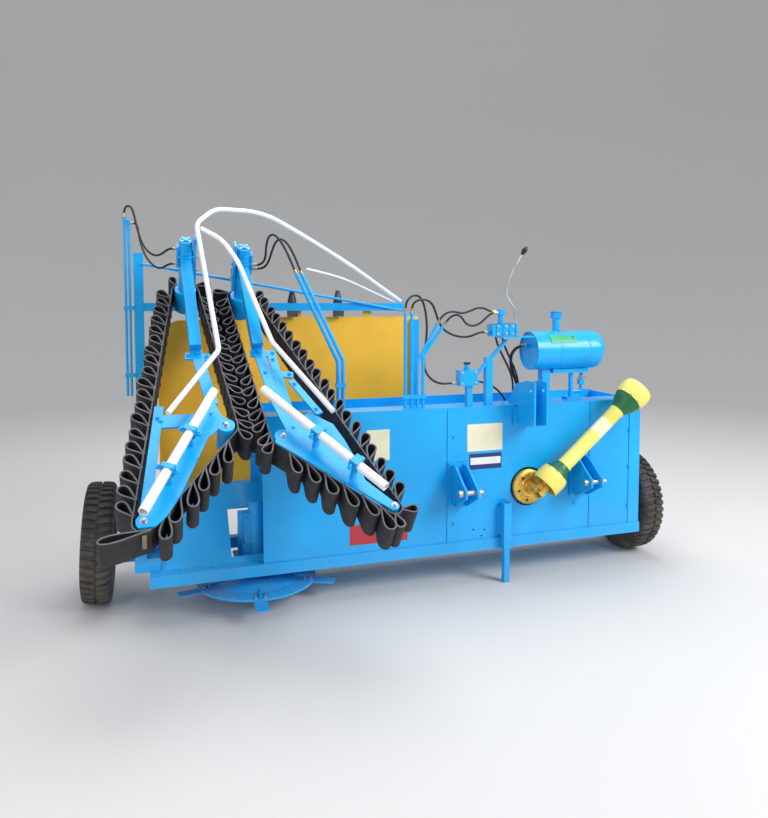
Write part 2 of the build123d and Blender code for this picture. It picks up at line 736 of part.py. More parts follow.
def oil_tank():
    """Cylinder with a dished left end, two straps, a filler neck and its cap."""
    x, y, z = TANK_LEFT, TANK_Y, TANK_HEIGHT
    tank = rod(at(x, y, z), at(x + TANK_LENGTH, y, z), TANK_RADIUS)
    tank -= rod(at(x, y, z), at(x + 14, y, z), TANK_RADIUS - 8)
    for strap in (165, 370):
        tank += rod(at(x + strap, y, z), at(x + strap + 22, y, z), TANK_RADIUS + 3)
    tank += rod(at(x + 196, y, z), at(x + 196, y, z + 210), 24)
    tank += rod(at(x + 196, y, z + 200), at(x + 196, y, z + 242), 32)
    return tank


def tank_mount():
    """Saddle, legs and feet on the front flange, with the outlet pipe and its tap."""
    y = TANK_Y
    top = TANK_HEIGHT - TANK_RADIUS
    mount = block((2437, y - 40, top - 24), (2696, y + 40, top + 12))
    mount += rod(at(2590, y, BOX_TOP), at(2590, y, top - 10), 15)
    mount += block((2545, y - 35, BOX_TOP), (2640, y + 30, BOX_TOP + 16))
    mount += block((2366, y - 28, BOX_TOP), (2422, y + 28, top + 22))
    tank = rod(at(TANK_LEFT, y, TANK_HEIGHT), at(TANK_LEFT + TANK_LENGTH, y, TANK_HEIGHT), TANK_RADIUS + 3.2)
    tap = rod(at(2666, y, BOX_TOP + 36), at(2666, y, top + 20), 11)
    tap += rod(at(2590, y, BOX_TOP + 48), at(2666, y, BOX_TOP + 48), 10)
    tap += block((2648, y - 16, BOX_TOP + 90), (2684, y + 16, BOX_TOP + 122))
    return mount + tap - tank


VALVE_Y = 50


def valve_stand():
    """Two posts on the front flange, the sloping arm between them and the shelf to the tank."""
    y = VALVE_Y
    stand = block((1939, y - 20, BOX_TOP), (1983, y + 20, 1365))
    stand += block((1815, y - 18, BOX_TOP), (1851, y + 18, 1197))
    stand += bar(at(1888, y, 1270), at(2082, y, 1464), 36, 14)
    stand += block((2030, y - 40, 1480), (2252, y + 40, 1488.8))
    return stand


def valves():
    """Flow valve on its post and lever valve on the shelf."""
    y = VALVE_Y
    flow = block((1762, y - 34, 1197.2), (1878, y + 34, 1290))
    flow += rod(at(1820, y, 1285), at(1820, y, 1325), 16)
    lever = block((1970, y - 38, 1489), (2139.8, y + 38, 1562))
    lever += rod(at(2042, y, 1560), at(2042, y, 1630), 17)
    return flow, lever


def control_lever():
    """Bent hand lever with its knob."""
    y = VALVE_Y
    route = [at(2146, y, 1530), at(2146, y, 1580), at(2132, y, 1660), at(2078, y, 1735), at(2096, y, 1830), at(2128, y, 1900),
             at(2192, y, 2000)]
    return bent_tube(route, 6, 20) + Pos(at(2197, y, 2008)) * Sphere(15)


# Steel hydraulic pipes
RISER_Y = 60
RISER_RADIUS = 10


def riser_pipes():
    """Four pipes that rise from the front flange: two straight and two bent to the right."""
    y = RISER_Y
    pipes = [rod(at(x, y, BOX_TOP), at(x, y, 1638), RISER_RADIUS) for x in (1432, 1472)]
    pipes.append(bent_tube([at(1508, y, BOX_TOP), at(1508, y, 1345), at(1636, y, 1572)], RISER_RADIUS, 60))
    pipes.append(bent_tube([at(1542, y, BOX_TOP), at(1542, y, 1379), at(1674, y, 1560)], RISER_RADIUS, 60))
    strap = block((1415, y - RISER_RADIUS - 5, 1130), (1560, y - RISER_RADIUS, 1155))
    for x in (1432, 1472, 1508, 1542):
        strap += block((x - 8, y - RISER_RADIUS, 1130), (x + 8, y - RISER_RADIUS + 4, 1155))
    return pipes[0] + strap + pipes[1] + pipes[2] + pipes[3]


def middle_pipes():
    """Two pipes side by side that rise from the sunk deck and lean left to the right-hand motor."""
    y = 250
    deck = BOX_TOP - DECK_DROP
    pair = bent_tube([at(1076, y, deck), at(1076, y, 1340), at(829, y, 1862)], RISER_RADIUS + 2, 90)
    pair += bent_tube([at(1106, y, deck), at(1106, y, 1348), at(863, y, 1857)], RISER_RADIUS + 2, 90)
    return pair + block((1060, y - 16, 1190), (1122, y + 16, 1214))


def left_pipes():
    """Two thin pipes up the mast to the left-hand motor, on their clamps."""
    y = 872
    pipes = [rod(at(x, y, 1110), at(x, y, top), 8) for x, top in ((-122, 2222), (-98, 2180))]
    pipes.append(block((-134, y - 12, 1228), (MAST_X - MAST_SIZE / 2, y + 12, 1252)))
    pipes.append(block((-134, y - 12, 1648), (MAST_X - MAST_SIZE / 2, y + 12, 1672)))
    joined = pipes[0]
    for piece in pipes[1:]:
        joined += piece
    return joined


def main():
    os.makedirs("parts", exist_ok=True)
    save("base_frame", base_frame())
    save("front_wall", front_wall())
    save("rear_wall", rear_wall())
    save("end_walls", *end_walls())
    save("top_deck", top_deck())
    save("throat_floor", throat_floor())
    save("gearbox", gearbox())
    centres = [HITCH_CENTRE - LOWER_PIN_SPREAD / 2, HITCH_CENTRE + LOWER_PIN_SPREAD / 2]
    save("lower_clevises", *[lower_clevis(centre) for centre in centres])
    save("lower_pins", *[lower_pin(centre) for centre in centres])
    save("top_link_bracket", top_link_bracket())
    save("leg_sleeve", leg_sleeve())
    save("parking_leg", parking_leg())
    save("input_yoke", input_yoke())
    save("shaft_joint", shaft_joint())
    save("shaft_guard", shaft_guard())
    save("end_yoke", end_yoke())
    left = wheel_place(LEFT_WHEEL, LEFT_CAMBER)
    right = wheel_place(RIGHT_WHEEL, 0) * Rot(0, 0, 180)
    save("tyre_left", left * tyre())
    save("rim_left", left * rim())
    save("axle_left", left_axle())
    save("tyre_right", right * tyre())
    save("rim_right", right * rim())
    save("axle_right", right_axle())
    save("cutter_disc", cutter_disc())
    save("cutter_blades", *cutter_blades())
    save("cutter_spindle", cutter_spindle())
    save("oil_tank", oil_tank())
    save("tank_mount", tank_mount())
    save("valve_stand", valve_stand())
    save("valves", *valves())
    save("control_lever", control_lever())
    save("riser_pipes", riser_pipes())
    save("middle_pipes", middle_pipes())
    save("left_pipes", left_pipes())
    save("belt_left", belt(LEFT_ROLLERS, False))
    save("belt_right", belt(RIGHT_ROLLERS, True))
    save("gather_frame_left", gather_frame(LEFT_BARS, LEFT_ROLLERS, LEFT_COLUMN_FOOT))
    save("gather_frame_right", gather_frame(RIGHT_BARS, RIGHT_ROLLERS, RIGHT_COLUMN_FOOT))
    save("gather_motors", *gather_motors())
    save("guard_pipes", *guard_pipes())
    save("guard_clamps", *guard_clamps())
    save("guard_arch", *guard_arch())
    save("rear_mast", rear_mast())
    save("stay_rod", stay_rod())
    save("panel_post", panel_post())
    save("rear_panel", rear_panel())
    save("rear_hood", rear_hood())


if __name__ == "__main__":
    main()
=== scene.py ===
import math
import random

import bmesh
import bpy
from bpy.props import FloatProperty, FloatVectorProperty, IntProperty, PointerProperty
from mathutils import Matrix, Vector


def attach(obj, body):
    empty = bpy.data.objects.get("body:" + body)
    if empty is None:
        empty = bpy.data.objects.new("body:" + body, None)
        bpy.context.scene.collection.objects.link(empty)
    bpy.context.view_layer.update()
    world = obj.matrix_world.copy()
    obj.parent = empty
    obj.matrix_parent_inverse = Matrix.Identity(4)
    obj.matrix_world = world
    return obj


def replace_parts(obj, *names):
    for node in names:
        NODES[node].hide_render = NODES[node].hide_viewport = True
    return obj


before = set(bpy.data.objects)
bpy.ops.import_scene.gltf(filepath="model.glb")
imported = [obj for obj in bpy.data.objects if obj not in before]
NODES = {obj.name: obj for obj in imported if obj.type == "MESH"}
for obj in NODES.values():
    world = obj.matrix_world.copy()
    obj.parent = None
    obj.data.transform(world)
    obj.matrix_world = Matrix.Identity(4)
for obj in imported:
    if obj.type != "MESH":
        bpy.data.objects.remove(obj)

bl_info = {
    "name": "Side-offset cane harvester",
    "version": (1, 0, 0),
    "blender": (4, 5, 0),
    "location": "3D View > Sidebar > Harvester",
    "description": "Dresses the packed harvester: paint, rubber belts, tyres, drive shaft guard, hoses and studio",
    "category": "Object",
}

MM = 0.001

# The housing's left end and hitch face in the frame, in millimetres, as in the part's source
BOX_LEFT = -1430
FACE_Y = -50

# The gathering units' plane: its foot in housing millimetres and its slope
PLANE_FOOT = (0, -737, 764)
SLOPE = 36

# Each unit's belt rollers on that plane: x across, s up the slope, radius
LEFT_ROLLERS = [(-8, 15, 45), (372, 545, 55), (226, 1705, 75)]
RIGHT_ROLLERS = [(1085, -25, 36), (640, 452, 56), (548, 1640, 75)]
ROLLER_DEPTH = 135

# Loops on the stretch that leaves each roller, then on the bend that it reaches:
# first root, pitch, length, half width, trail, loops on the bend, their length, their trail
LEFT_RUNS = [(95, 97, 140, 27, 60, 1, 90, 30), (44, 88, 100, 24, 48, 2, 100, 25), (92, 88, 108, 25, 42, 0, 0, 0)]
RIGHT_RUNS = [(52, 104, 138, 27, 60, 1, 90, 30), (44, 88, 100, 24, 48, 2, 100, 25), (44, 88, 105, 25, 45, 2, 75, 20)]
BELT_WIDTH = 150
BELT_THICKNESS = 6
LOOP_WALL = 7.5

# The long flattened loop at the left unit's tip: root, end, half width
TIP_LOOP = ((20, -26), (-185, -66), 22)

# Gathering frames inside the belts: flat bars as x, s, x, s, width, and the lower plates' corners
LEFT_BARS = [(-8, 15, 62, 700, 44), (318, 700, 255, 1150, 60), (40, 596, 276, 596, 84), (296, 640, 372, 545, 70),
             (200, 1086, 330, 1070, 54)]
RIGHT_BARS = [(706, 470, 640, 760, 80), (640, 720, 590, 1150, 60), (662, 1100, 700, 560, 46), (742, 860, 850, 600, 40),
              (590, 930, 760, 905, 44), (548, 1100, 690, 1090, 54)]
LEFT_PLATE = [(-40, 0), (-28, -18), (40, -16), (84, 30), (146, 139), (215, 307), (283, 473), (372, 560), (318, 740),
              (290, 700)]
RIGHT_PLATE = [(1075, -52), (1100, -20), (1064, 30), (984, 137), (974, 244), (938, 405), (903, 515), (795, 604),
               (720, 560), (594, 424), (600, 408)]
LEFT_COLUMN_FOOT = (255, 1120)
RIGHT_COLUMN_FOOT = (590, 1125)
HEAD_LIFT = 262
HEAD_RADIUS = 40
MOTOR_RADIUS = 37
MOTOR_TOP = 352

# Hose ports beside each motor: y, z
LEFT_PORTS = [(470, 2003), (531, 1920)]
RIGHT_PORTS = [(467, 1895), (449, 1917)]

# Guard pipes' runs on the slope and their clamps: x, s, block size
PIPE_RADIUS = 22
PIPE_LIFT = 100
ARCH_RADIUS = 14
LEFT_PIPE = ((321, 695), (-8, -10))
RIGHT_PIPE = ((563, 696), (1036, 13))
PIPE_CLAMPS = [(196, 430, 26), (94, 208, 26), (786, 376, 46), (930, 168, 46)]

# Thin white brace from the right-hand motor's pipes to the rear beam
BRACE = ((892, 254, 1888), (1648, 898, 1699))

# Wheels: axle's centre as x and y, and camber in degrees; then the tyre's half section as along, radius
WHEEL_RADIUS = 335
HUB_OFFSET = 30
LEFT_WHEEL = ((-272, 450), 3)
RIGHT_WHEEL = ((3142, 300), 0)
TYRE_SECTION = [
    (-62, 192), (-70, 206), (-77, 226), (-81, 252), (-81, 280), (-76, 300), (-66, 314), (-40, 321), (-12, 323),
    (12, 323), (40, 321), (66, 314), (76, 300), (81, 280), (81, 252), (77, 226), (70, 206), (62, 192),
]
TREAD_HALF = 13.5
TREAD_SKEW = 15

# Oil tank: its left end's x, its axis as y and z, its radius, and the filler's x
TANK_LEFT = 2280
TANK_AXIS = (130, 1392)
TANK_RADIUS = 122
FILLER_X = 2476

# The tank's label: its two ends' x, its radius, and where it starts and how far it goes round, in degrees
TANK_LABEL = (2378, 2560)
TANK_LABEL_RADIUS = 125.8
TANK_LABEL_TURN = (128, 27)

# Bolts on the hitch face, as x and z
FACE_BOLTS = [
    (2947, 874), (2945, 639), (2944, 383), (2546, 432), (2650, 737), (1714, 900), (1714, 640), (1714, 380),
]

# The valves' and hose ports' line, behind the hitch face
VALVE_Y = 50

# The cutting disc's centre as x and y, its top, and its ribs
CUTTER_HUB = (582, 225)
CUTTER_TOP = 116
CUTTER_RIBS = 5

# The drive shaft's joint: x and z on the hitch face, how far it stands out, the shaft's degrees above level
PTO_CENTRE = (2212, 566)
PTO_REACH = 130
PTO_LEAN = 40.3

# The shaft's guard, each part a finish number and rows of along, radius: the tube, its sticker, then a green cone
# and a yellow bell for each end. Its collars, and its screws' rows as along, radius, follow
GUARD_PARTS = [
    (0, [(206, 40), (206, 46), (232, 46.5), (236, 44), (692, 44), (696, 46.5), (726, 46), (726, 40), (206, 40)]),
    (2, [(500, 43.9), (500, 44.4), (610, 44.4), (610, 43.9)]),
    (1, [(218, 42), (218, 49), (204, 51), (188, 60), (168, 72), (148, 79), (136, 80), (136, 76), (146, 75), (166, 68),
         (186, 56), (202, 47), (218, 42)]),
    (0, [(150, 74), (150, 84), (130, 88.5), (100, 89.5), (62, 88), (50, 85), (50, 82), (62, 84.5), (100, 86), (130, 84),
         (150, 74)]),
    (1, [(712, 42), (712, 49), (726, 51), (744, 60), (772, 74), (800, 82), (824, 84), (824, 80), (800, 78), (772, 70),
         (744, 56), (726, 47), (712, 42)]),
    (0, [(812, 78), (812, 89), (834, 94.5), (866, 97), (892, 95), (910, 90), (915, 86), (915, 82), (908, 86), (890, 91),
         (866, 93), (834, 90.5), (812, 78)]),
]
GUARD_COLLARS = (210, 218, 706, 714)
GUARD_SCREWS = ((144, 84), (818, 89))

# The clutch's outline and one spring pocket's, as rows of along, radius
CLUTCH_ROWS = [
    (-12, 48), (-12, 100), (-4, 106), (6, 106), (8, 101), (12, 101), (14, 106), (22, 106), (26, 100), (30, 92),
    (30, 62), (35, 56), (35, 42), (50, 39), (72, 36), (74, 30),
]
CLUTCH_POCKET = [(24, 0), (24, 20), (32, 19), (36, 15), (36, 0)]
CLUTCH_POCKETS = 6

# Camera: lens, upward shift, place in metres, degrees below level and degrees round
CAMERA_LENS = 32.68
CAMERA_SHIFT = -0.0808
CAMERA_PLACE = (-1.3692, -3.8042, 1.6763)
CAMERA_DIP = 3.415
CAMERA_TURN = -18.012

# Studio: a flat floor, a curved rim and a wall in metres, their grey, the sky's colour and strength
FLOOR_RADIUS = 9
RIM_RADIUS = 7
RIM_STEPS = 24
WALL_TOP = 11
BOWL_SIDES = 96
FLOOR_GREY = 0.6
SKY_COLOUR = (0.86, 0.88, 0.90, 1)
SKY_STRENGTH = 0.75

# Soft lights: name, place, aim, size, power
LIGHTS = [
    ("Key light", (4.8, -5.2, 5.0), (0, 0, 0.9), 3.4, 520),
    ("Fill light", (-5.5, -4.5, 3.0), (-0.3, 0, 0.9), 4.0, 150),
    ("Top light", (0.5, 1.5, 6.5), (0, 0, 0.8), 5.0, 250),
]

# Rubber hoses: name, radius, length in metres and the route from fitting to fitting
HOSES = [
    ("hose_flow_feed", 6.5, 0.838, [
        (1432, 60, 1638.2), (1432, 60, 1676), (1450, 64, 1714), (1489, 74, 1737), (1530, 86, 1730),
        (1558, 97, 1692), (1574, 102, 1636), (1582, 102, 1570), (1580, 99, 1500), (1570, 97, 1430),
        (1560, 95, 1366), (1561, 92, 1310), (1578, 82, 1264), (1608, 66, 1230), (1646, 50, 1214),
        (1690, 48, 1212), (1744, 50, 1214),
    ]),
    ("hose_lever_feed", 6.5, 0.649, [
        (1472, 60, 1638.2), (1472, 60, 1668), (1490, 61, 1698), (1528, 62, 1711), (1570, 66, 1708),
        (1606, 78, 1686), (1632, 90, 1640), (1650, 96, 1590), (1676, 96, 1542), (1716, 88, 1510),
        (1768, 72, 1490), (1824, 58, 1486), (1872, 50, 1502), (1906, 50, 1516), (1953, 50, 1516),
    ]),
    ("hose_lever_upper", 6.5, 0.407, [
        (1636.1, 60, 1572.2), (1653.8, 60, 1603.6), (1690, 60, 1632), (1730, 62, 1641), (1772, 64, 1632),
        (1808, 66, 1630), (1850, 66, 1645), (1895, 65, 1662), (1938, 63, 1660), (1974, 62, 1640),
        (2005.8, 62, 1640),
    ]),
    ("hose_lever_lower", 6.5, 0.407, [
        (1674.1, 60, 1560.2), (1692.9, 60, 1586), (1724, 54, 1615), (1757, 46, 1622), (1782, 40, 1604),
        (1797, 36, 1576), (1826, 35, 1556), (1864, 36, 1555), (1904, 37, 1572), (1942, 38, 1606),
        (1976, 38, 1632), (2005.8, 38, 1632),
    ]),
    ("hose_return_left", 6.5, 0.557, [
        (2060, 104.2, 1510), (2060, 124, 1510), (2061, 143, 1503), (2065, 158, 1488), (2071, 166, 1466),
        (2082, 168, 1436), (2102, 168, 1392), (2130, 170, 1342), (2162, 175, 1290), (2190, 184, 1238),
        (2208, 196, 1184), (2216, 208, 1132), (2216, 218, 1088), (2214, 222, 1056), (2214, 222, 1031.2),
    ]),
    ("hose_return_right", 6.5, 0.549, [
        (2105, 104.2, 1505), (2105, 124, 1505), (2106, 143, 1498), (2110, 158, 1483), (2117, 166, 1461),
        (2130, 169, 1428), (2152, 170, 1382), (2180, 173, 1330), (2210, 179, 1276), (2236, 188, 1218),
        (2252, 199, 1160), (2257, 209, 1108), (2254, 216, 1064), (2252, 218, 1052), (2252, 218, 1031.2),
    ]),
    ("suction_hose", 10, 0.466, [
        (2268, 160, 1420), (2240, 160, 1420), (2218, 163, 1411), (2201, 171, 1394), (2191, 182, 1371),
        (2190, 194, 1344), (2198, 206, 1302), (2214, 216, 1256), (2240, 225, 1208), (2262, 232, 1156),
        (2284, 241, 1108), (2298, 248, 1068), (2300, 250, 1050), (2300, 250, 1031.2),
    ]),
    ("hose_flow_return", 6.5, 0.395, [
        (1900, 100.2, 1208), (1900, 118, 1208), (1906, 135, 1208), (1920, 149, 1207), (1942, 158, 1205),
        (1974, 164, 1200), (2016, 170, 1188), (2062, 180, 1166), (2104, 192, 1138), (2138, 204, 1106),
        (2162, 212, 1076), (2176, 215, 1051), (2176, 215, 1031.2),
    ]),
    ("hose_right_motor_outer", 6.5, 0.538, [
        (862.9, 250, 1857.2), (850, 250, 1884.4), (834, 256, 1930), (814, 268, 1980), (790, 284, 2028),
        (768, 296, 2054), (744, 310, 2061), (724, 326, 2044), (710, 352, 2004), (700, 384, 1958),
        (690, 414, 1924), (676, 440, 1905), (658, 458, 1897), (640, 467, 1895), (614, 467, 1895),
    ]),
    ("hose_right_motor_inner", 6.5, 0.531, [
        (828.9, 250, 1862.2), (816, 250, 1889.4), (796, 256, 1940), (772, 268, 1996), (746, 284, 2046),
        (722, 298, 2078), (702, 310, 2086), (685, 324, 2074), (676, 344, 2044), (674, 368, 2002),
        (675, 394, 1962), (668, 418, 1936), (654, 438, 1922), (638, 449, 1917), (614, 449, 1917),
    ]),
    ("hose_left_motor_upper", 6.5, 0.721, [
        (-122, 872, 2222.2), (-122, 872, 2250), (-116, 869, 2276), (-100, 862, 2290), (-80, 850, 2282),
        (-67, 834, 2252), (-56, 808, 2200), (-42, 772, 2130), (-20, 720, 2056), (14, 654, 1996),
        (54, 590, 1967), (88, 536, 1972), (112, 498, 1989), (130, 477, 2000), (148, 470, 2003),
        (167.8, 470, 2003),
    ]),
    ("hose_left_motor_lower", 6.5, 0.581, [
        (-79.8, 872, 2186), (-64, 872, 2186), (-51, 869, 2178), (-44, 862, 2160), (-39, 850, 2130),
        (-32, 826, 2082), (-18, 784, 2024), (6, 732, 1966), (38, 674, 1920), (70, 626, 1898), (94, 590, 1898),
        (111, 564, 1905), (124, 545, 1913), (138, 534, 1918), (152, 531, 1920), (167.8, 531, 1920),
    ]),
]


def at(x, y, z):
    """A point in housing millimetres, as a place in the frame."""
    return Vector((BOX_LEFT + x, FACE_Y + y, z)) * MM


def on_slope(x, s, lift=0):
    """A point on the gathering plane: x across, s up the slope, lift above it."""
    turn = math.radians(SLOPE)
    foot = at(*PLANE_FOOT)
    up = Vector((0, math.cos(turn), math.sin(turn)))
    out = Vector((0, -math.sin(turn), math.cos(turn)))
    return foot + Vector((x, 0, 0)) * MM + up * s * MM + out * lift * MM


def look():
    """The user's sizes and colours."""
    return bpy.context.scene.harvester_look


# Finishes

def finish_named(name):
    """The finish of that name, made once."""
    if name in bpy.data.materials:
        return bpy.data.materials[name]
    return FINISHES[name](name)


def new_finish(name, metallic=0.0, specular=0.5, coat=0.0, coat_rough=0.1):
    """An empty finish with its constants set on the shader."""
    material = bpy.data.materials.new(name)
    material.use_nodes = True
    shader = material.node_tree.nodes["Principled BSDF"]
    shader.inputs["Metallic"].default_value = metallic
    shader.inputs["Specular IOR Level"].default_value = specular
    shader.inputs["Coat Weight"].default_value = coat
    shader.inputs["Coat Roughness"].default_value = coat_rough
    return material, shader


def noise(tree, scale, detail=4.0):
    """Noise over the object's own space."""
    place = tree.nodes.new("ShaderNodeTexCoord")
    grain = tree.nodes.new("ShaderNodeTexNoise")
    grain.inputs["Scale"].default_value = scale
    grain.inputs["Detail"].default_value = detail
    grain.inputs["Roughness"].default_value = 0.55
    tree.links.new(place.outputs["Object"], grain.inputs["Vector"])
    return grain.outputs["Fac"]


def ramp(tree, value, low, high, start, end):
    """A value carried from one range to another, held at its ends."""
    node = tree.nodes.new("ShaderNodeMapRange")
    node.clamp = True
    node.inputs["From Min"].default_value = low
    node.inputs["From Max"].default_value = high
    node.inputs["To Min"].default_value = start
    node.inputs["To Max"].default_value = end
    tree.links.new(value, node.inputs["Value"])
    return node.outputs["Result"]


def mixed(tree, factor, first, second):
    """Two colours mixed by a factor; each is a colour or a socket."""
    node = tree.nodes.new("ShaderNodeMix")
    node.data_type = "RGBA"
    tree.links.new(factor, node.inputs[0])
    for socket, colour in ((node.inputs[6], first), (node.inputs[7], second)):
        if isinstance(colour, bpy.types.NodeSocket):
            tree.links.new(colour, socket)
        else:
            socket.default_value = (*colour[:3], 1)
    return node.outputs[2]


def product(tree, first, second):
    """Two values multiplied."""
    node = tree.nodes.new("ShaderNodeMath")
    node.operation = "MULTIPLY"
    tree.links.new(first, node.inputs[0])
    tree.links.new(second, node.inputs[1])
    return node.outputs[0]


def bump(tree, shader, value, distance, strength):
    """Fine relief from a value; the distance is in metres."""
    node = tree.nodes.new("ShaderNodeBump")
    node.inputs["Distance"].default_value = distance
    node.inputs["Strength"].default_value = strength
    tree.links.new(value, node.inputs["Height"])
    tree.links.new(node.outputs["Normal"], shader.inputs["Normal"])


def low_dust(tree, colour, dust, top, amount):
    """Dust that settles on the lowest part of the machine."""
    place = tree.nodes.new("ShaderNodeNewGeometry")
    split = tree.nodes.new("ShaderNodeSeparateXYZ")
    tree.links.new(place.outputs["Position"], split.inputs[0])
    height = ramp(tree, split.outputs[2], 0.0, top, amount, 0.0)
    patch = ramp(tree, noise(tree, 9, 6), 0.35, 0.65, 0.2, 1.0)
    return mixed(tree, product(tree, height, patch), colour, dust)


def paint(name, colour, shade=0.86, rough=(0.24, 0.38), coat=0.15, dust=0.2):
    """Sprayed gloss paint over welded sheet: slight tone changes, orange peel and dust low down."""
    material, shader = new_finish(name, specular=0.35, coat=coat, coat_rough=0.12)
    tree = material.node_tree
    darker = [part * shade for part in colour[:3]]
    tone = mixed(tree, ramp(tree, noise(tree, 3.5, 5), 0.35, 0.7, 0, 1), colour, darker)
    if dust:
        tone = low_dust(tree, tone, (0.30, 0.25, 0.19), 0.5, dust)
    tree.links.new(tone, shader.inputs["Base Color"])
    tree.links.new(ramp(tree, noise(tree, 6, 6), 0.3, 0.7, *rough), shader.inputs["Roughness"])
    bump(tree, shader, noise(tree, 260, 3), 0.0004, 0.25)
    return material


def rubber(name, colour, rough=0.62, grain=140, depth=0.0006, dust=0.0):
    """Moulded rubber with a fine grain and slight wear."""
    material, shader = new_finish(name, specular=0.4)
    tree = material.node_tree
    worn = [part * 1.7 + 0.004 for part in colour[:3]]
    tone = mixed(tree, ramp(tree, noise(tree, 14, 6), 0.45, 0.8, 0, 1), colour, worn)
    if dust:
        tone = low_dust(tree, tone, (0.22, 0.19, 0.15), 0.7, dust)
    tree.links.new(tone, shader.inputs["Base Color"])
    tree.links.new(ramp(tree, noise(tree, 22, 4), 0.3, 0.7, rough - 0.08, rough + 0.12), shader.inputs["Roughness"])
    bump(tree, shader, noise(tree, grain, 4), depth, 0.5)
    return material


def metal(name, colour, rough=(0.28, 0.45), grain=60, depth=0.0003):
    """Bare or plated metal."""
    material, shader = new_finish(name, metallic=1.0)
    tree = material.node_tree
    darker = [part * 0.6 for part in colour[:3]]
    tone = mixed(tree, ramp(tree, noise(tree, 18, 6), 0.4, 0.75, 0, 1), colour, darker)
    tree.links.new(tone, shader.inputs["Base Color"])
    tree.links.new(ramp(tree, noise(tree, 30, 5), 0.3, 0.7, *rough), shader.inputs["Roughness"])
    bump(tree, shader, noise(tree, grain, 4), depth, 0.5)
    return material


def plastic(name, colour, rough):
    """Moulded plastic or a printed sticker."""
    material, shader = new_finish(name)
    tree = material.node_tree
    darker = [part * 0.88 for part in colour[:3]]
    tone = mixed(tree, ramp(tree, noise(tree, 8, 5), 0.4, 0.75, 0, 1), colour, darker)
    tree.links.new(tone, shader.inputs["Base Color"])
    tree.links.new(ramp(tree, noise(tree, 25, 4), 0.3, 0.7, rough - 0.05, rough + 0.08), shader.inputs["Roughness"])
    bump(tree, shader, noise(tree, 320, 3), 0.0003, 0.25)
    return material


FINISHES = {
    "blue paint": lambda name: paint(name, look().blue),
    "blue weld": lambda name: paint(name, [part * 0.72 for part in look().blue], rough=(0.3, 0.5), coat=0.2),
    "yellow paint": lambda name: paint(name, look().yellow, shade=0.9, rough=(0.35, 0.5), coat=0.1, dust=0.0),
    "white pipe": lambda name: plastic(name, (0.86, 0.86, 0.87), 0.32),
    "belt rubber": lambda name: rubber(name, look().rubber),
    "belt cut edge": lambda name: rubber(name, (0.105, 0.102, 0.115), rough=0.75),
    "tyre rubber": lambda name: rubber(name, (0.022, 0.021, 0.023), rough=0.68, grain=90, dust=0.5),
    "hose rubber": lambda name: rubber(name, (0.014, 0.014, 0.015), rough=0.42, grain=400, depth=0.0002),
    "guard yellow": lambda name: plastic(name, (0.87, 0.74, 0.16), 0.38),
    "guard green": lambda name: plastic(name, (0.006, 0.13, 0.04), 0.42),
    "cast gold": lambda name: metal(name, (0.95, 0.62, 0.14), (0.38, 0.58), 45, 0.0012),
    "bright steel": lambda name: metal(name, (0.62, 0.62, 0.63)),
    "dark steel": lambda name: metal(name, (0.10, 0.10, 0.11), (0.4, 0.6)),
    "brass": lambda name: metal(name, (0.60, 0.40, 0.16)),
    "black knob": lambda name: plastic(name, (0.012, 0.012, 0.013), 0.3),
    "cream label": lambda name: plastic(name, (0.80, 0.76, 0.55), 0.35),
    "pale sticker": lambda name: plastic(name, (0.88, 0.84, 0.52), 0.25),
    "navy label": lambda name: plastic(name, (0.012, 0.03, 0.17), 0.35),
    "white label": lambda name: plastic(name, (0.80, 0.80, 0.80), 0.35),
    "red label": lambda name: plastic(name, (0.45, 0.03, 0.04), 0.35),
    "green label": lambda name: plastic(name, (0.06, 0.42, 0.20), 0.35),
    "tan fabric": lambda name: plastic(name, (0.25, 0.19, 0.12), 0.7),
}

# What each carried CAD node is finished in
NODE_FINISH = {
    "blue paint": [
        "base_frame", "front_wall", "rear_wall", "end_walls", "top_deck", "throat_floor", "gearbox", "lower_clevises",
        "top_link_bracket", "leg_sleeve", "parking_leg", "rim_left", "rim_right", "axle_left", "axle_right",
        "cutter_disc", "cutter_blades", "cutter_spindle", "gather_frame_left", "gather_frame_right", "gather_motors",
        "guard_clamps", "rear_mast", "panel_post", "stay_rod", "oil_tank", "tank_mount", "valve_stand", "valves",
        "riser_pipes", "middle_pipes", "left_pipes",
    ],
    "yellow paint": ["rear_panel", "rear_hood"],
    "white pipe": ["guard_pipes", "guard_arch"],
    "belt rubber": ["belt_left", "belt_right"],
    "tyre rubber": ["tyre_left", "tyre_right"],
    "guard yellow": ["shaft_guard"],
    "cast gold": ["input_yoke", "shaft_joint"],
    "dark steel": ["end_yoke"],
    "bright steel": ["control_lever", "lower_pins"],
}


# Shapes

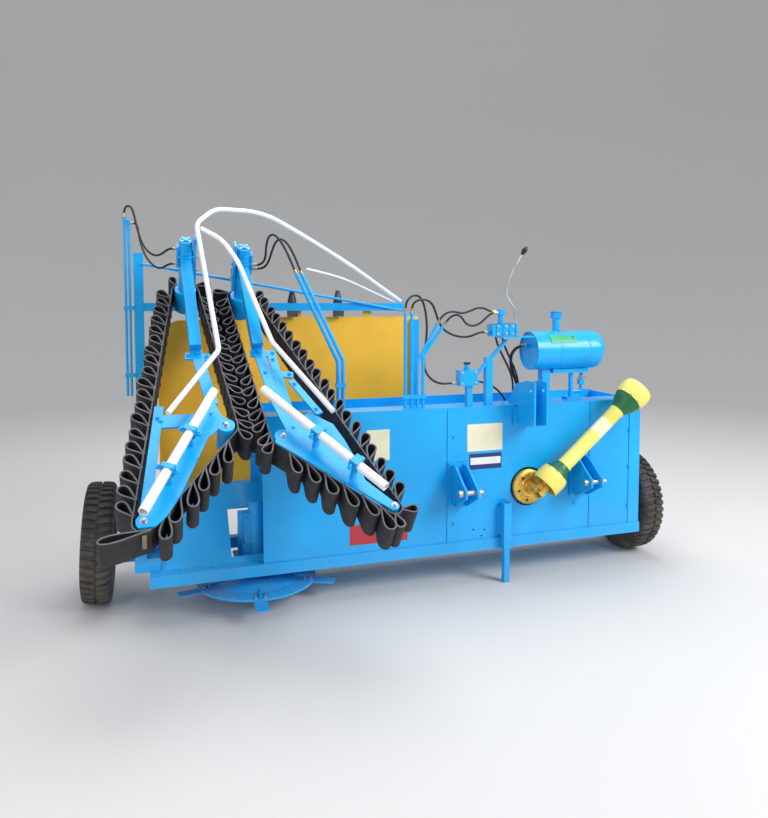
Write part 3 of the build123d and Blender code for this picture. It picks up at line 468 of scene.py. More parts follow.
class Shape:
    """A mesh in the making, in frame metres, with its finishes by name."""

    def __init__(self, *finishes):
        self.mesh = bmesh.new()
        self.finishes = list(finishes)

    def face(self, verts, finish=0, smooth=False):
        """One face between vertices."""
        face = self.mesh.faces.new(verts)
        face.material_index = finish
        face.smooth = smooth
        return face

    def cube(self, place, finish):
        """A cube one metre across, carried to a place."""
        made = bmesh.ops.create_cube(self.mesh, size=1, matrix=place)
        for face in {face for vert in made["verts"] for face in vert.link_faces}:
            face.material_index = finish

    def block(self, low, high, finish=0):
        """A block between two corners given in frame metres."""
        size = high - low
        self.cube(Matrix.Translation((low + high) / 2) @ Matrix.Diagonal((*size, 1)), finish)

    def bar(self, start, end, width, height, up, finish=0):
        """A straight flat bar: width lies across it and height along up, both in millimetres."""
        way = (end - start).normalized()
        side = up.cross(way).normalized()
        turned = Matrix((way, side, way.cross(side))).transposed().to_4x4()
        size = Matrix.Diagonal(((end - start).length, width * MM, height * MM, 1))
        self.cube(Matrix.Translation((start + end) / 2) @ turned @ size, finish)

    def rod(self, start, end, radius, finish=0, steps=28):
        """A straight round bar with its ends' edges broken; the radius is in millimetres."""
        length = (end - start).length
        out = radius * MM
        edge = min(1.5 * MM, out * 0.2, length * 0.2)
        rows = [(0, 0), (0, out - edge), (edge, out), (length - edge, out), (length, out - edge), (length, 0)]
        self.lathe(rows, facing(start, end - start), steps, finish)

    def lathe(self, rows, place, steps=32, finish=0, smooth=True):
        """Rows of (along, radius) turned about the local z of a place; rows close where the radius is 0."""
        rings = []
        for along, radius in rows:
            if radius == 0:
                rings.append([self.mesh.verts.new(place @ Vector((0, 0, along)))])
                continue
            rings.append([
                self.mesh.verts.new(place @ Vector((
                    radius * math.cos(math.tau * step / steps), radius * math.sin(math.tau * step / steps), along)))
                for step in range(steps)
            ])
        for first, second in zip(rings, rings[1:]):
            for step in range(steps):
                after = (step + 1) % steps
                corners = [first[step % len(first)], first[after % len(first)], second[after % len(second)],
                           second[step % len(second)]]
                kept = [vert for number, vert in enumerate(corners) if vert not in corners[:number]]
                if len(kept) > 2:
                    self.face(kept, finish, smooth)

    def revolve(self, rows, place, steps, finish=0):
        """A lathe whose rows are in millimetres."""
        self.lathe([(along * MM, radius * MM) for along, radius in rows], place, steps, finish)

    def tube(self, points, radius, steps):
        """A round bar with flat ends along points in frame metres."""
        frames = []
        side = None
        for number, point in enumerate(points):
            before = points[max(0, number - 1)]
            after = points[min(len(points) - 1, number + 1)]
            way = (after - before).normalized()
            if side is None:
                side = way.orthogonal().normalized()
            side = (side - way * side.dot(way)).normalized()
            frames.append((point, side.copy(), way.cross(side)))
        rings = [
            [self.mesh.verts.new(point + (first * math.cos(math.tau * step / steps)
                                          + second * math.sin(math.tau * step / steps)) * radius)
             for step in range(steps)]
            for point, first, second in frames
        ]
        for one, two in zip(rings, rings[1:]):
            for step in range(steps):
                after = (step + 1) % steps
                self.face([one[step], one[after], two[after], two[step]], 0, True)
        self.face(list(reversed(rings[0])))
        self.face(rings[-1])

    def prism(self, outline, place, low, high):
        """An outline on a place's xy plane, from one height to another."""
        bottom = [self.mesh.verts.new(place @ Vector((x, y, low))) for x, y in outline]
        top = [self.mesh.verts.new(place @ Vector((x, y, high))) for x, y in outline]
        self.face(list(reversed(bottom)))
        self.face(top)
        count = len(outline)
        for number in range(count):
            after = (number + 1) % count
            self.face([bottom[number], bottom[after], top[after], top[number]])

    def ribbon(self, first, second, place, low, high, finish=0, edge=1, closed=True):
        """A wall between two outlines of like points, from one height to another: sides and cut edges."""
        rows = []
        for outline in (first, second):
            for height in (low, high):
                rows.append([self.mesh.verts.new(place @ Vector((x, y, height))) for x, y in outline])
        count = len(first)
        for number in range(count if closed else count - 1):
            after = (number + 1) % count
            self.face([rows[0][number], rows[0][after], rows[1][after], rows[1][number]], finish, True)
            self.face([rows[2][after], rows[2][number], rows[3][number], rows[3][after]], finish, True)
            self.face([rows[1][number], rows[1][after], rows[3][after], rows[3][number]], edge)
            self.face([rows[0][after], rows[0][number], rows[2][number], rows[2][after]], edge)
        if not closed:
            for number in (0, count - 1):
                self.face([rows[0][number], rows[1][number], rows[3][number], rows[2][number]], finish)

    def bolt(self, place, size, finish=0, height=0.6):
        """A hexagon head on a washer, its axis the place's z; size across the corners."""
        self.lathe([(0, 0), (0, size * 0.72), (size * 0.1, size * 0.72), (size * 0.1, 0)], place, 16, finish, False)
        self.lathe([(size * 0.1, size * 0.5), (size * height, size * 0.5), (size * (height + 0.08), size * 0.42),
                    (size * (height + 0.08), 0)], place, 6, finish, False)

    def made(self, name, body, bevel=0.0, angle=35):
        """The finished object, riding on its body."""
        bmesh.ops.recalc_face_normals(self.mesh, faces=self.mesh.faces)
        data = bpy.data.meshes.new(name)
        self.mesh.to_mesh(data)
        self.mesh.free()
        for finish in self.finishes:
            data.materials.append(finish_named(finish))
        data.set_sharp_from_angle(angle=math.radians(angle))
        piece = bpy.data.objects.new(name, data)
        bpy.context.scene.collection.objects.link(piece)
        if bevel:
            soften(piece, bevel)
        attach(piece, body)
        return piece


def soften(piece, width):
    """Rounded edges on a piece."""
    modifier = piece.modifiers.new("Rounded edges", "BEVEL")
    modifier.width = width
    modifier.segments = 2
    modifier.limit_method = "ANGLE"
    modifier.angle_limit = math.radians(40)


def facing(point, way):
    """A place at a point whose z looks along a way."""
    turned = way.to_track_quat("Z", "Y").to_matrix().to_4x4()
    return Matrix.Translation(point) @ turned


def slope_place():
    """The gathering plane as a place: x across, y up the slope, z out of it, in metres."""
    origin = on_slope(0, 0)
    across = Vector((1, 0, 0))
    up = (on_slope(0, 1000) - origin).normalized()
    out = across.cross(up)
    turned = Matrix((across, up, out)).transposed().to_4x4()
    return Matrix.Translation(origin) @ turned


# Gathering belts

def belt_line(rollers, clockwise):
    """Straight stretches of a belt round its rollers: start, end, outward normal."""
    stretches = []
    for number, (x, s, radius) in enumerate(rollers):
        next_x, next_s, next_radius = rollers[(number + 1) % len(rollers)]
        gap = Vector((next_x - x, next_s - s))
        tilt = math.asin((radius - next_radius) / gap.length)
        out = gap.normalized()
        out.rotate(Matrix.Rotation(math.radians(90 if clockwise else -90) + (-tilt if clockwise else tilt), 2))
        stretches.append((Vector((x, s)) + out * radius, Vector((next_x, next_s)) + out * next_radius, out))
    return stretches


def turned_flat(vector, turn):
    """A flat vector turned by radians."""
    turned = vector.copy()
    turned.rotate(Matrix.Rotation(turn, 2))
    return turned


def belt_outline(rollers, clockwise, grow):
    """The belt's closed line round its rollers, grown outwards."""
    points = []
    stretches = belt_line([(x, s, radius + grow) for x, s, radius in rollers], clockwise)
    for number, (start, end, out) in enumerate(stretches):
        x, s, radius = rollers[(number + 1) % len(rollers)]
        next_out = stretches[(number + 1) % len(stretches)][2]
        turn = out.angle(next_out)
        points.append(start)
        for step in range(9):
            turned = turned_flat(out, turn * step / 8 * (-1 if clockwise else 1))
            points.append(Vector((x, s)) + turned * (radius + grow))
    return points


def loop_places(rollers, runs, clockwise):
    """Each loop's root on the belt, the way it points, its length and half width."""
    side = 1 if clockwise else -1
    stretches = belt_line(rollers, clockwise)
    places = []
    for number, (start, end, out) in enumerate(stretches):
        first, pitch, length, half, trail, bends, bend_length, bend_trail = runs[number]
        way = (end - start).normalized()
        count = int(((end - start).length - first) / pitch) + 1
        for step in range(count):
            root = start + way * (first + step * pitch)
            places.append((root, turned_flat(out, side * math.radians(trail)), length, half))
        x, s, radius = rollers[(number + 1) % len(rollers)]
        turn = out.angle(stretches[(number + 1) % len(stretches)][2])
        for step in range(bends):
            turned = turned_flat(out, -side * turn * (step + 0.5) / bends)
            root = Vector((x, s)) + turned * radius
            places.append((root, turned_flat(turned, side * math.radians(bend_trail)), bend_length, half))
    return places


def teardrop(length, half, steps=30):
    """A folded loop's line from its root: a doubled neck that opens into a round end."""
    points = []
    neck = LOOP_WALL / 2
    for step in range(steps + 1):
        turn = math.tau * step / steps
        part = (1 - math.cos(turn)) / 2
        open_part = 1.6 * math.sin(turn) * abs(math.sin(turn / 2)) ** 2.4
        side = 1 if step * 2 < steps else -1
        points.append((length * part, (half - neck * part) * open_part + side * neck * (1 - part) ** 2))
    return points


def offset_line(points, distance):
    """An open flat line moved sideways."""
    moved = []
    for number, point in enumerate(points):
        before = Vector(points[max(0, number - 1)])
        after = Vector(points[min(len(points) - 1, number + 1)])
        way = (after - before).normalized()
        moved.append(Vector(point) + Vector((-way.y, way.x)) * distance)
    return moved


def add_loop(shape, place, root, along, length, half, drop=0.0):
    """One folded loop of belt standing on its root."""
    side = turned_flat(along, math.pi / 2)
    line = teardrop(length, half)
    flat = []
    for outline in (offset_line(line, LOOP_WALL / 2), offset_line(line, -LOOP_WALL / 2)):
        flat.append([(root + along * point[0] + side * point[1]) * MM for point in outline])
    shape.ribbon(flat[0], flat[1], place, (-BELT_WIDTH - drop) * MM, -drop * MM, closed=False)


def make_belt(name, rollers, runs, clockwise, seed, tip_loop=None):
    """One gathering belt: the band round the rollers and its folded loops."""
    dice = random.Random(seed)
    shape = Shape("belt rubber", "belt cut edge")
    place = slope_place()
    inner = [point * MM for point in belt_outline(rollers, clockwise, 0)]
    outer = [point * MM for point in belt_outline(rollers, clockwise, BELT_THICKNESS)]
    shape.ribbon(inner, outer, place, -BELT_WIDTH * MM, 0)
    vary = look().loop_variation
    for root, along, length, half in loop_places(rollers, runs, clockwise):
        length *= 1 + dice.uniform(-vary, vary) * 0.6
        half *= 1 + dice.uniform(-vary, vary)
        lean = turned_flat(along, math.radians(dice.uniform(-55, 55) * vary))
        add_loop(shape, place, root, lean, length, half, dice.uniform(-3, 3))
    if tip_loop:
        root, end, half = Vector(tip_loop[0]), Vector(tip_loop[1]), tip_loop[2]
        add_loop(shape, place, root, (end - root).normalized(), (end - root).length, half, -2)
    return shape.made(name, "machine", angle=50)


# Gathering units

def slope_out():
    """The direction out of the gathering plane."""
    return (on_slope(0, 0, 1000) - on_slope(0, 0)).normalized()


def make_gather_frame(name, bars, plate, rollers, column_foot, head_side):
    """Lower plate and flat bars, roller hubs, the shaft housing at the top and the column that braces it."""
    shape = Shape("blue paint", "bright steel")
    up = slope_out()
    shape.prism([(x * MM, s * MM) for x, s in plate], slope_place(), 1 * MM, 9 * MM)
    for number, (x, s, end_x, end_s, width) in enumerate(bars):
        lift = -0.4 * number
        shape.bar(on_slope(x, s, lift), on_slope(end_x, end_s, lift), width, 12, up)
    for x, s, radius in rollers:
        shape.rod(on_slope(x, s, -ROLLER_DEPTH), on_slope(x, s, 10), radius - 12)
        shape.bolt(facing(on_slope(x, s, 10), up), 22 * MM, 1)
    top_x, top_s, _ = rollers[2]
    shape.rod(on_slope(top_x, top_s, -ROLLER_DEPTH), on_slope(top_x, top_s, HEAD_LIFT), HEAD_RADIUS)
    shape.rod(on_slope(top_x, top_s, HEAD_LIFT - 16), on_slope(top_x, top_s, HEAD_LIFT), HEAD_RADIUS + 8)
    shape.bar(on_slope(*column_foot, 30), on_slope(top_x - 4, top_s + 10, HEAD_LIFT - 30), 62, 62, up)
    cheek_x = top_x + head_side * (HEAD_RADIUS + 10)
    shape.bar(on_slope(cheek_x, top_s, 60), on_slope(cheek_x, top_s, MOTOR_TOP + 22), 58, 16, Vector((1, 0, 0)))
    shape.bar(on_slope(top_x, top_s, 118), on_slope(cheek_x, top_s, 118), 44, 60, up)
    for lift in (150, 240, 330):
        shape.bolt(facing(on_slope(cheek_x + head_side * 8, top_s, lift), Vector((head_side, 0, 0))), 17 * MM, 1)
    for x, s, end_x, end_s, _ in bars:
        shape.bolt(facing(on_slope(x + (end_x - x) * 0.12, s + (end_s - s) * 0.12, 6), up), 17 * MM, 0)
        shape.bolt(facing(on_slope(x + (end_x - x) * 0.88, s + (end_s - s) * 0.88, 6), up), 17 * MM, 0)
    return shape.made(name, "machine", bevel=1.2 * MM)


def make_gather_motors():
    """A hydraulic motor on each shaft housing, with the port block beside it."""
    shape = Shape("blue paint", "bright steel")
    up = slope_out()
    for rollers, side, ports, hose_x in ((LEFT_ROLLERS, -1, LEFT_PORTS, 168), (RIGHT_ROLLERS, 1, RIGHT_PORTS, 614)):
        x, s, _ = rollers[2]
        shape.rod(on_slope(x, s, HEAD_LIFT), on_slope(x, s, MOTOR_TOP), MOTOR_RADIUS)
        shape.rod(on_slope(x, s, HEAD_LIFT), on_slope(x, s, HEAD_LIFT + 20), MOTOR_RADIUS + 4)
        shape.rod(on_slope(x, s, HEAD_LIFT + 44), on_slope(x, s, HEAD_LIFT + 50), MOTOR_RADIUS + 2)
        shape.rod(on_slope(x, s, MOTOR_TOP - 2), on_slope(x, s, MOTOR_TOP + 10), 20)
        block_x = x + side * (MOTOR_RADIUS + 10)
        shape.bar(on_slope(block_x, s, 176), on_slope(block_x, s, 312), 44, 12, Vector((1, 0, 0)))
        shape.bar(on_slope(x, s, 292), on_slope(block_x, s, 292), 36, 30, up)
        for y, z in ports:
            shape.rod(at(block_x, y, z), at(hose_x, y, z), 10)
        for number in range(4):
            turn = math.tau * (number + 0.5) / 4
            place = on_slope(x + 26 * math.cos(turn), s + 26 * math.sin(turn), MOTOR_TOP)
            shape.bolt(facing(place, up), 12 * MM, 1)
    return shape.made("gather_drive_motors", "machine", bevel=1 * MM)


def make_pipe_clamps():
    """Posts from the plates up to each straight guard pipe, with a bolted block round the pipe."""
    shape = Shape("blue paint", "bright steel")
    up = slope_out()
    for x, s, size in PIPE_CLAMPS:
        (first_x, first_s), (last_x, last_s) = LEFT_PIPE if x < 500 else RIGHT_PIPE
        way = (on_slope(last_x, last_s) - on_slope(first_x, first_s)).normalized()
        part = (x - first_x) / (last_x - first_x)
        centre = on_slope(x, first_s + (last_s - first_s) * part, PIPE_LIFT)
        side = up.cross(way).normalized()
        wide = PIPE_RADIUS * 2 + 14
        for across in (-1, 1):
            wall = centre + side * across * (PIPE_RADIUS + 4) * MM
            shape.bar(wall - way * size / 2 * MM, wall + way * size / 2 * MM, 6, wide, up)
            ear = centre + side * across * (PIPE_RADIUS + 18) * MM
            shape.bar(ear - way * 11 * MM, ear + way * 11 * MM, 26, 12, up)
            shape.bolt(facing(ear + up * 6 * MM, up), 15 * MM, 0)
        for lift in (-1, 1):
            wall = centre + up * lift * (PIPE_RADIUS + 3) * MM
            shape.bar(wall - way * size / 2 * MM, wall + way * size / 2 * MM, wide, 6, up)
        shape.bar(centre - up * (PIPE_LIFT - 8) * MM, centre - up * PIPE_RADIUS * MM, 30, 20, way)
    return shape.made("guard_pipe_clamps", "machine", bevel=0.8 * MM)


def rounded(points, radii, steps=12):
    """Straight runs joined by arcs, each radius no larger than its runs allow; sizes in millimetres."""
    line = [points[0]]
    for number, radius in enumerate(radii, 1):
        before, corner, after = points[number - 1:number + 2]
        arrive = (corner - before).normalized()
        leave = (after - corner).normalized()
        half_turn = arrive.angle(leave) / 2
        shorter = min((corner - before).length, (after - corner).length)
        reach = min(radius * MM * math.tan(half_turn), shorter * 0.48)
        for step in range(steps + 1):
            part = step / steps
            first = corner - arrive * reach * (1 - part)
            second = corner + leave * reach * part
            line.append(first.lerp(second, part))
    line.append(points[-1])
    return line


def make_arches():
    """The two bent white guards over the heads and the thin brace back to the rear beam."""
    shape = Shape("white pipe")
    left = [on_slope(101, 555, PIPE_LIFT), on_slope(369, 1013, PIPE_LIFT), at(285, 450, 2150), at(397, 500, 2243),
            at(672, 500, 2237), at(903, 520, 2119), at(1247, 640, 1945), at(1690, 893, 1707)]
    right = [on_slope(890, 516, PIPE_LIFT), on_slope(658, 1073, PIPE_LIFT), at(505, 300, 1923), at(426, 380, 2054),
             at(312, 445, 2120)]
    shape.tube(rounded(left, (60, 90, 120, 900, 1500, 1500)), ARCH_RADIUS * MM, 20)
    shape.tube(rounded(right, (60, 500, 300)), ARCH_RADIUS * MM, 20)
    shape.tube(rounded([at(*BRACE[0]), at(1160, 480, 1850), at(*BRACE[1])], (3000,)), 7 * MM, 14)
    return shape.made("white_guards", "machine")


# Hoses

def make_hose(name, radius, route):
    """One rubber hose: a smooth line along its route."""
    data = bpy.data.curves.new(name, "CURVE")
    data.dimensions = "3D"
    data.bevel_depth = radius * MM
    data.bevel_resolution = 5
    data.resolution_u = 10
    data.use_fill_caps = True
    spline = data.splines.new("NURBS")
    spline.points.add(len(route) - 1)
    for point, place in zip(spline.points, route):
        point.co = (*at(*place), 1)
    spline.order_u = 3
    spline.use_endpoint_u = True
    data.materials.append(finish_named("hose rubber"))
    hose = bpy.data.objects.new(name, data)
    bpy.context.scene.collection.objects.link(hose)
    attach(hose, "machine")
    return hose


def make_hose_ends():
    """A crimped sleeve and a hexagon nut at each end of every hose, and the ports that they screw onto."""
    shape = Shape("bright steel", "blue paint", "brass")
    for _, radius, _, route in HOSES:
        for end, inner in ((route[0], route[1]), (route[-1], route[-2])):
            place = at(*end)
            way = (at(*inner) - place).normalized()
            reach = min(22 * MM, (at(*inner) - place).length * 0.8)
            shape.rod(place, place + way * reach, radius + 2.2, 2, 20)
            shape.rod(place - way * 12 * MM, place + way * 2 * MM, radius + 4.5, 0, 6)
    y = VALVE_Y
    ports = [
        ((1744, y, 1214), (1770, y, 1214), 8), ((1870, y + 12, 1208), (1900, y + 12, 1208), 8),
        ((1900, y + 4, 1208), (1900, y + 50, 1208), 9), ((2006, y + 12, 1640), (2026, y + 12, 1640), 9),
        ((2006, y - 12, 1632), (2026, y - 12, 1632), 9), ((1953, y, 1516), (1975, y, 1516), 12),
        ((2060, y + 30, 1510), (2060, y + 54, 1510), 10), ((2105, y + 30, 1505), (2105, y + 54, 1505), 10),
        ((2268, 160, 1420), (2296, 160, 1420), 15), ((-98, 872, 2140), (-98, 872, 2176), 12),
        ((-122, 872, 2190), (-122, 872, 2222), 12), ((-92, 872, 2186), (-80, 872, 2186), 9),
    ]
    for x, across in ((2176, 215), (2214, 222), (2252, 218), (2300, 250)):
        ports.append(((x, across, 1004), (x, across, 1017), 17))
        ports.append(((x, across, 1004), (x, across, 1031), 13))
    for start, end, radius in ports:
        shape.rod(at(*start), at(*end), radius, 1)
    shape.block(at(2022, y - 26, 1620), at(2060, y + 26, 1652), 1)
    shape.block(at(-110, 860, 2172), at(-88, 884, 2200), 1)
    return shape.made("hose_fittings", "machine", bevel=0.6 * MM)


# Hitch face, valves and tank

def make_face_trim():
    """Bolts and blank labels on the hitch face, with the tank's label."""
    shape = Shape("blue paint", "cream label", "navy label", "white label", "red label", "green label", "dark steel")
    panels = [
        ((1803, 805), (2035, 968), 1), ((1817, 695), (2030, 789), 2), ((1824, 724), (2023, 766), 3),
        ((1178, 791), (1315, 968), 1), ((1077, 313), (1426, 428), 4),
    ]
    for number, ((x, z), (end_x, end_z), finish) in enumerate(panels):
        front = -1.2 - 0.8 * (finish == 3)
        shape.block(at(x, front, z), at(end_x, 0.5, end_z), finish)
    for x, z in FACE_BOLTS:
        shape.bolt(facing(at(x, -5 if x < 1740 or x > 2900 else 0, z), Vector((0, -1, 0))), 15 * MM, 0)
    for x, z in ((1920, 322), (1901, 287), (1847, 329)):
        shape.rod(at(x, 1, z), at(x, -1.5, z), 6, 6, 16)
    rows = []
    for step in range(13):
        turn = math.radians(TANK_LABEL_TURN[0] + TANK_LABEL_TURN[1] * step / 12)
        rows.append((math.cos(turn), math.sin(turn)))
    for (across, up), (next_across, next_up) in zip(rows, rows[1:]):
        corners = []
        for x, (one, two) in ((TANK_LABEL[0], (across, up)), (TANK_LABEL[1], (across, up)),
                              (TANK_LABEL[1], (next_across, next_up)), (TANK_LABEL[0], (next_across, next_up))):
            corners.append(shape.mesh.verts.new(
                at(x, TANK_AXIS[0] + TANK_LABEL_RADIUS * one, TANK_AXIS[1] + TANK_LABEL_RADIUS * two)))
        shape.face(corners, 5, True)
    return shape.made("blank_labels_and_bolts", "machine", bevel=0.3 * MM)


def make_upper_trim():
    """The tank's filler cap, valve sections with their bolts, the tap's lever and cast pads along the rear beam."""
    shape = Shape("blue paint", "blue weld", "brass", "dark steel", "bright steel", "black knob")
    y = VALVE_Y
    for x in (1992, 2036, 2080, 2118):
        shape.block(at(x, y - 41, 1493), at(x + 5, y + 41, 1566), 1)
    for x in (2006, 2060, 2104):
        for z in (1504, 1548):
            shape.bolt(facing(at(x, y - 38, z), Vector((0, -1, 0))), 12 * MM, 4)
    for x in (1776, 1864):
        for z in (1212, 1276):
            shape.bolt(facing(at(x, y - 34, z), Vector((0, -1, 0))), 11 * MM, 4)
    shape.rod(at(1820, y, 1325), at(1820, y, 1336), 21, 5)
    shape.rod(at(1820, y, 1296), at(1820, y, 1304), 22, 0, 6)
    knob = facing(at(2197, y, 2008), at(2192, y, 2000) - at(2128, y, 1900))
    rows = [(-34, 0), (-30, 8), (-12, 14), (4, 16.5), (18, 14.5), (28, 8), (32, 0)]
    shape.revolve(rows, knob, 24, 5)
    tank_y = TANK_AXIS[0]
    shape.rod(at(FILLER_X, tank_y, 1632), at(FILLER_X, tank_y, 1639), 35, 1)
    for number in range(12):
        turn = math.tau * number / 12
        place = at(FILLER_X + 32 * math.cos(turn), tank_y + 32 * math.sin(turn), 1594)
        shape.rod(place, place + Vector((0, 0, 38 * MM)), 3.4, 0, 10)
    shape.rod(at(2666, tank_y, 1197), at(2666, tank_y, 1214), 8, 2)
    shape.bar(at(2630, 122, 1208), at(2700, 112, 1214), 13, 4, Vector((0, 0, 1)), 2)
    for x in (924, 1240):
        shape.lathe([(0, 0), (0, 0.030), (0.012, 0.030), (0.086, 0.013), (0.086, 0)],
                    facing(at(x, 900, 1692), Vector((0, 0, 1))), 24, 3)
        shape.block(at(x - 34, 862, 1600), at(x + 34, 899, 1640), 3)
    return shape.made("upper_fittings", "machine", bevel=0.8 * MM)


def make_tank():
    """Oil tank: a rolled cylinder with a sunk left end, a rounded right end, two beads and its filler."""
    shape = Shape("blue paint", "blue weld")
    place = facing(at(TANK_LEFT, *TANK_AXIS), Vector((1, 0, 0)))
    rows = [(16, 0), (16, 108), (12, 114), (2, 116), (0, 119), (2, TANK_RADIUS)]
    for bead in (165, 370):
        rows += [(bead, TANK_RADIUS), (bead + 3, 124.6), (bead + 9, 124.6), (bead + 12, TANK_RADIUS)]
    rows += [(446, TANK_RADIUS), (466, 119), (482, 110), (492, 96), (497, 70), (499, 0)]
    shape.revolve(rows, place, 72)
    shape.rod(at(FILLER_X, TANK_AXIS[0], 1505), at(FILLER_X, TANK_AXIS[0], 1600), 24)
    shape.rod(at(FILLER_X, TANK_AXIS[0], 1592), at(FILLER_X, TANK_AXIS[0], 1634), 31)
    shape.rod(at(FILLER_X, TANK_AXIS[0], 1508), at(FILLER_X, TANK_AXIS[0], 1518), 29, 1)
    shape.rod(at(2540, 40, 1475), at(2540, 34, 1480), 9, 1)
    return shape.made("oil_tank_shell", "machine")


def make_throat_trim():
    """The blade shaft's boxed bearing in the throat, and the tan wear strip beside the left-hand tip."""
    shape = Shape("blue paint", "blue weld", "tan fabric")
    shape.block(at(478, 250, 214), at(636, 256, 500), 0)
    shape.block(at(511, 190, 321), at(592, 250, 495), 0)
    shape.block(at(501, 184, 221), at(581, 250, 314), 0)
    shape.block(at(496, 186, 312), at(600, 250, 323), 1)
    for x in (520, 582):
        shape.bolt(facing(at(x, 190, 470), Vector((0, -1, 0))), 15 * MM, 0)
    shape.bar(on_slope(-6, -11, -50), on_slope(-6, -58, -50), 18, 70, slope_out(), 2)
    return shape.made("throat_bearing_box", "machine", bevel=1.5 * MM)


def make_cutter_trim():
    """Upright ribs and bolts on the cutting disc."""
    shape = Shape("blue paint", "bright steel")
    hub = at(*CUTTER_HUB, CUTTER_TOP)
    for number in range(CUTTER_RIBS):
        turn = math.radians(194 + 72 * number)
        way = Vector((math.cos(turn), math.sin(turn), 0))
        side = Vector((-way.y, way.x, 0))
        shape.bar(hub + way * 0.170 + Vector((0, 0, 0.006)), hub + way * 0.325 + Vector((0, 0, 0.006)), 8, 22,
                  Vector((0, 0, 1)))
        for reach, across in ((0.285, 0.024), (0.285, -0.024), (0.318, 0.024), (0.318, -0.024)):
            shape.bolt(facing(hub + way * reach + side * across, Vector((0, 0, 1))), 17 * MM, 1)
    return shape.made("cutter_ribs", "cutter", bevel=0.8 * MM)


def wheel_place(centre, camber):
    """A wheel's centre, leaned by its camber, with the tyre on the ground."""
    turn = math.radians(camber)
    height = WHEEL_RADIUS * math.cos(turn) + HUB_OFFSET * math.sin(turn)
    return Matrix.Translation(at(*centre, height)) @ Matrix.Rotation(turn, 4, "Y")


def make_wheel_bolts(name, body, centre, camber, side):
    """Wheel bolts and a grease cap on the rim's outer face."""
    shape = Shape("blue paint", "bright steel")
    place = wheel_place(centre, camber)
    way = (place.to_3x3() @ Vector((side, 0, 0))).normalized()
    face = 12 if side < 0 else 20
    for number in range(6):
        angle = math.tau * number / 6
        flat = Vector((0, math.cos(angle), math.sin(angle))) * 108 * MM
        shape.bolt(facing(place @ (flat + Vector((side * (face - 2) * MM, 0, 0))), way), 20 * MM, 1)
    shape.lathe([(0, 0), (0, 0.030), (0.010, 0.030), (0.016, 0.022), (0.018, 0)],
                facing(place @ Vector((side * (46 if side < 0 else 50) * MM, 0, 0)), way), 28, 0)
    return shape.made(name, body, bevel=0.6 * MM)


# Tyres

def make_tyre(name, body, centre, camber, flip):
    """A bias-ply implement tyre: carcass and shoulder blocks."""
    shape = Shape("tyre rubber")
    place = wheel_place(centre, camber)
    if flip:
        place = place @ Matrix.Rotation(math.pi, 4, "Z")
    place = place @ Matrix.Rotation(math.pi / 2, 4, "Y")
    shape.revolve(TYRE_SECTION, place, 72)
    count = look().tyre_blocks
    for number in range(count):
        angle = math.tau * number / count
        for side in (-1, 1):
            spin = place @ Matrix.Rotation(angle + (math.pi / count if side > 0 else 0), 4, "Z")
            add_tread_block(shape, spin, side)
    return shape.made(name, body, angle=30)


def add_tread_block(shape, spin, side):
    """One slanted shoulder block with its step down the side wall."""
    rows = [(6, 322, 334.5, 0.35), (34, 320, 334.5, 0.7), (60, 314, 331, 1.0), (74, 300, 318, 1.1), (81, 278, 286, 1.1)]
    rings = []
    for across, foot, top, part in rows:
        lean = TREAD_SKEW * (1 - part)
        corners = []
        for along, out in ((-TREAD_HALF, foot), (TREAD_HALF, foot), (TREAD_HALF - 2, top), (-TREAD_HALF + 2, top)):
            flat = along + lean
            angle = flat / out
            corners.append(shape.mesh.verts.new(spin @ Vector((
                out * math.cos(angle) * MM, out * math.sin(angle) * MM, side * across * MM))))
        rings.append(corners)
    for one, two in zip(rings, rings[1:]):
        for number in range(4):
            after = (number + 1) % 4
            shape.face([one[number], one[after], two[after], two[number]])
    shape.face(rings[0])
    shape.face(rings[-1])


# Drive shaft

def shaft_place():
    """The drive shaft's joint as a place whose z runs along the shaft."""
    turn = math.radians(PTO_LEAN)
    way = Vector((math.cos(turn), 0, math.sin(turn)))
    return facing(at(PTO_CENTRE[0], -PTO_REACH, PTO_CENTRE[1]), way)


def make_shaft_guard():
    """Yellow guard tube with its ribbed collars and blank sticker, green cones and flared yellow bells."""
    place = shaft_place()
    shape = Shape("guard yellow", "guard green", "pale sticker", "bright steel")
    for finish, rows in GUARD_PARTS:
        shape.revolve(rows, place, 56, finish)
    for start in GUARD_COLLARS:
        shape.revolve([(start, 45), (start, 48.2), (start + 4, 48.2), (start + 4, 45)], place, 40)
    for along, out in GUARD_SCREWS:
        for number in range(10):
            spin = place @ Matrix.Rotation(math.tau * number / 10, 4, "Z")
            shape.bolt(spin @ Matrix.Translation((out * MM, 0, along * MM)) @ Matrix.Rotation(math.pi / 2, 4, "Y"),
                       9 * MM, 3, 0.3)
    return shape.made("drive_guard", "drive_shaft")


def make_clutch():
    """Cast overload clutch on the gearbox shaft: plates, spring pockets with bolts, and the yoke's hub."""
    shape = Shape("cast gold", "dark steel")
    x, z = PTO_CENTRE
    out = Vector((0, -1, 0))
    place = facing(at(x, 0, z), out)
    shape.revolve(CLUTCH_ROWS, place, 56)
    for number in range(CLUTCH_POCKETS):
        spin = place @ Matrix.Rotation(math.tau * (number + 0.2) / CLUTCH_POCKETS, 4, "Z")
        centre = spin @ Matrix.Translation((80 * MM, 0, 0))
        shape.revolve(CLUTCH_POCKET, centre, 24)
        shape.bolt(centre @ Matrix.Translation((0, 0, 36 * MM)), 13 * MM, 1, 0.3)
        rib = spin @ Matrix.Rotation(math.tau / 12, 4, "Z")
        shape.bar(rib @ Vector((0.036, 0, 0.033)), rib @ Vector((0.086, 0, 0.031)), 12, 5, out)
    return shape.made("clutch_casting", "machine", bevel=0.8 * MM)


# Studio

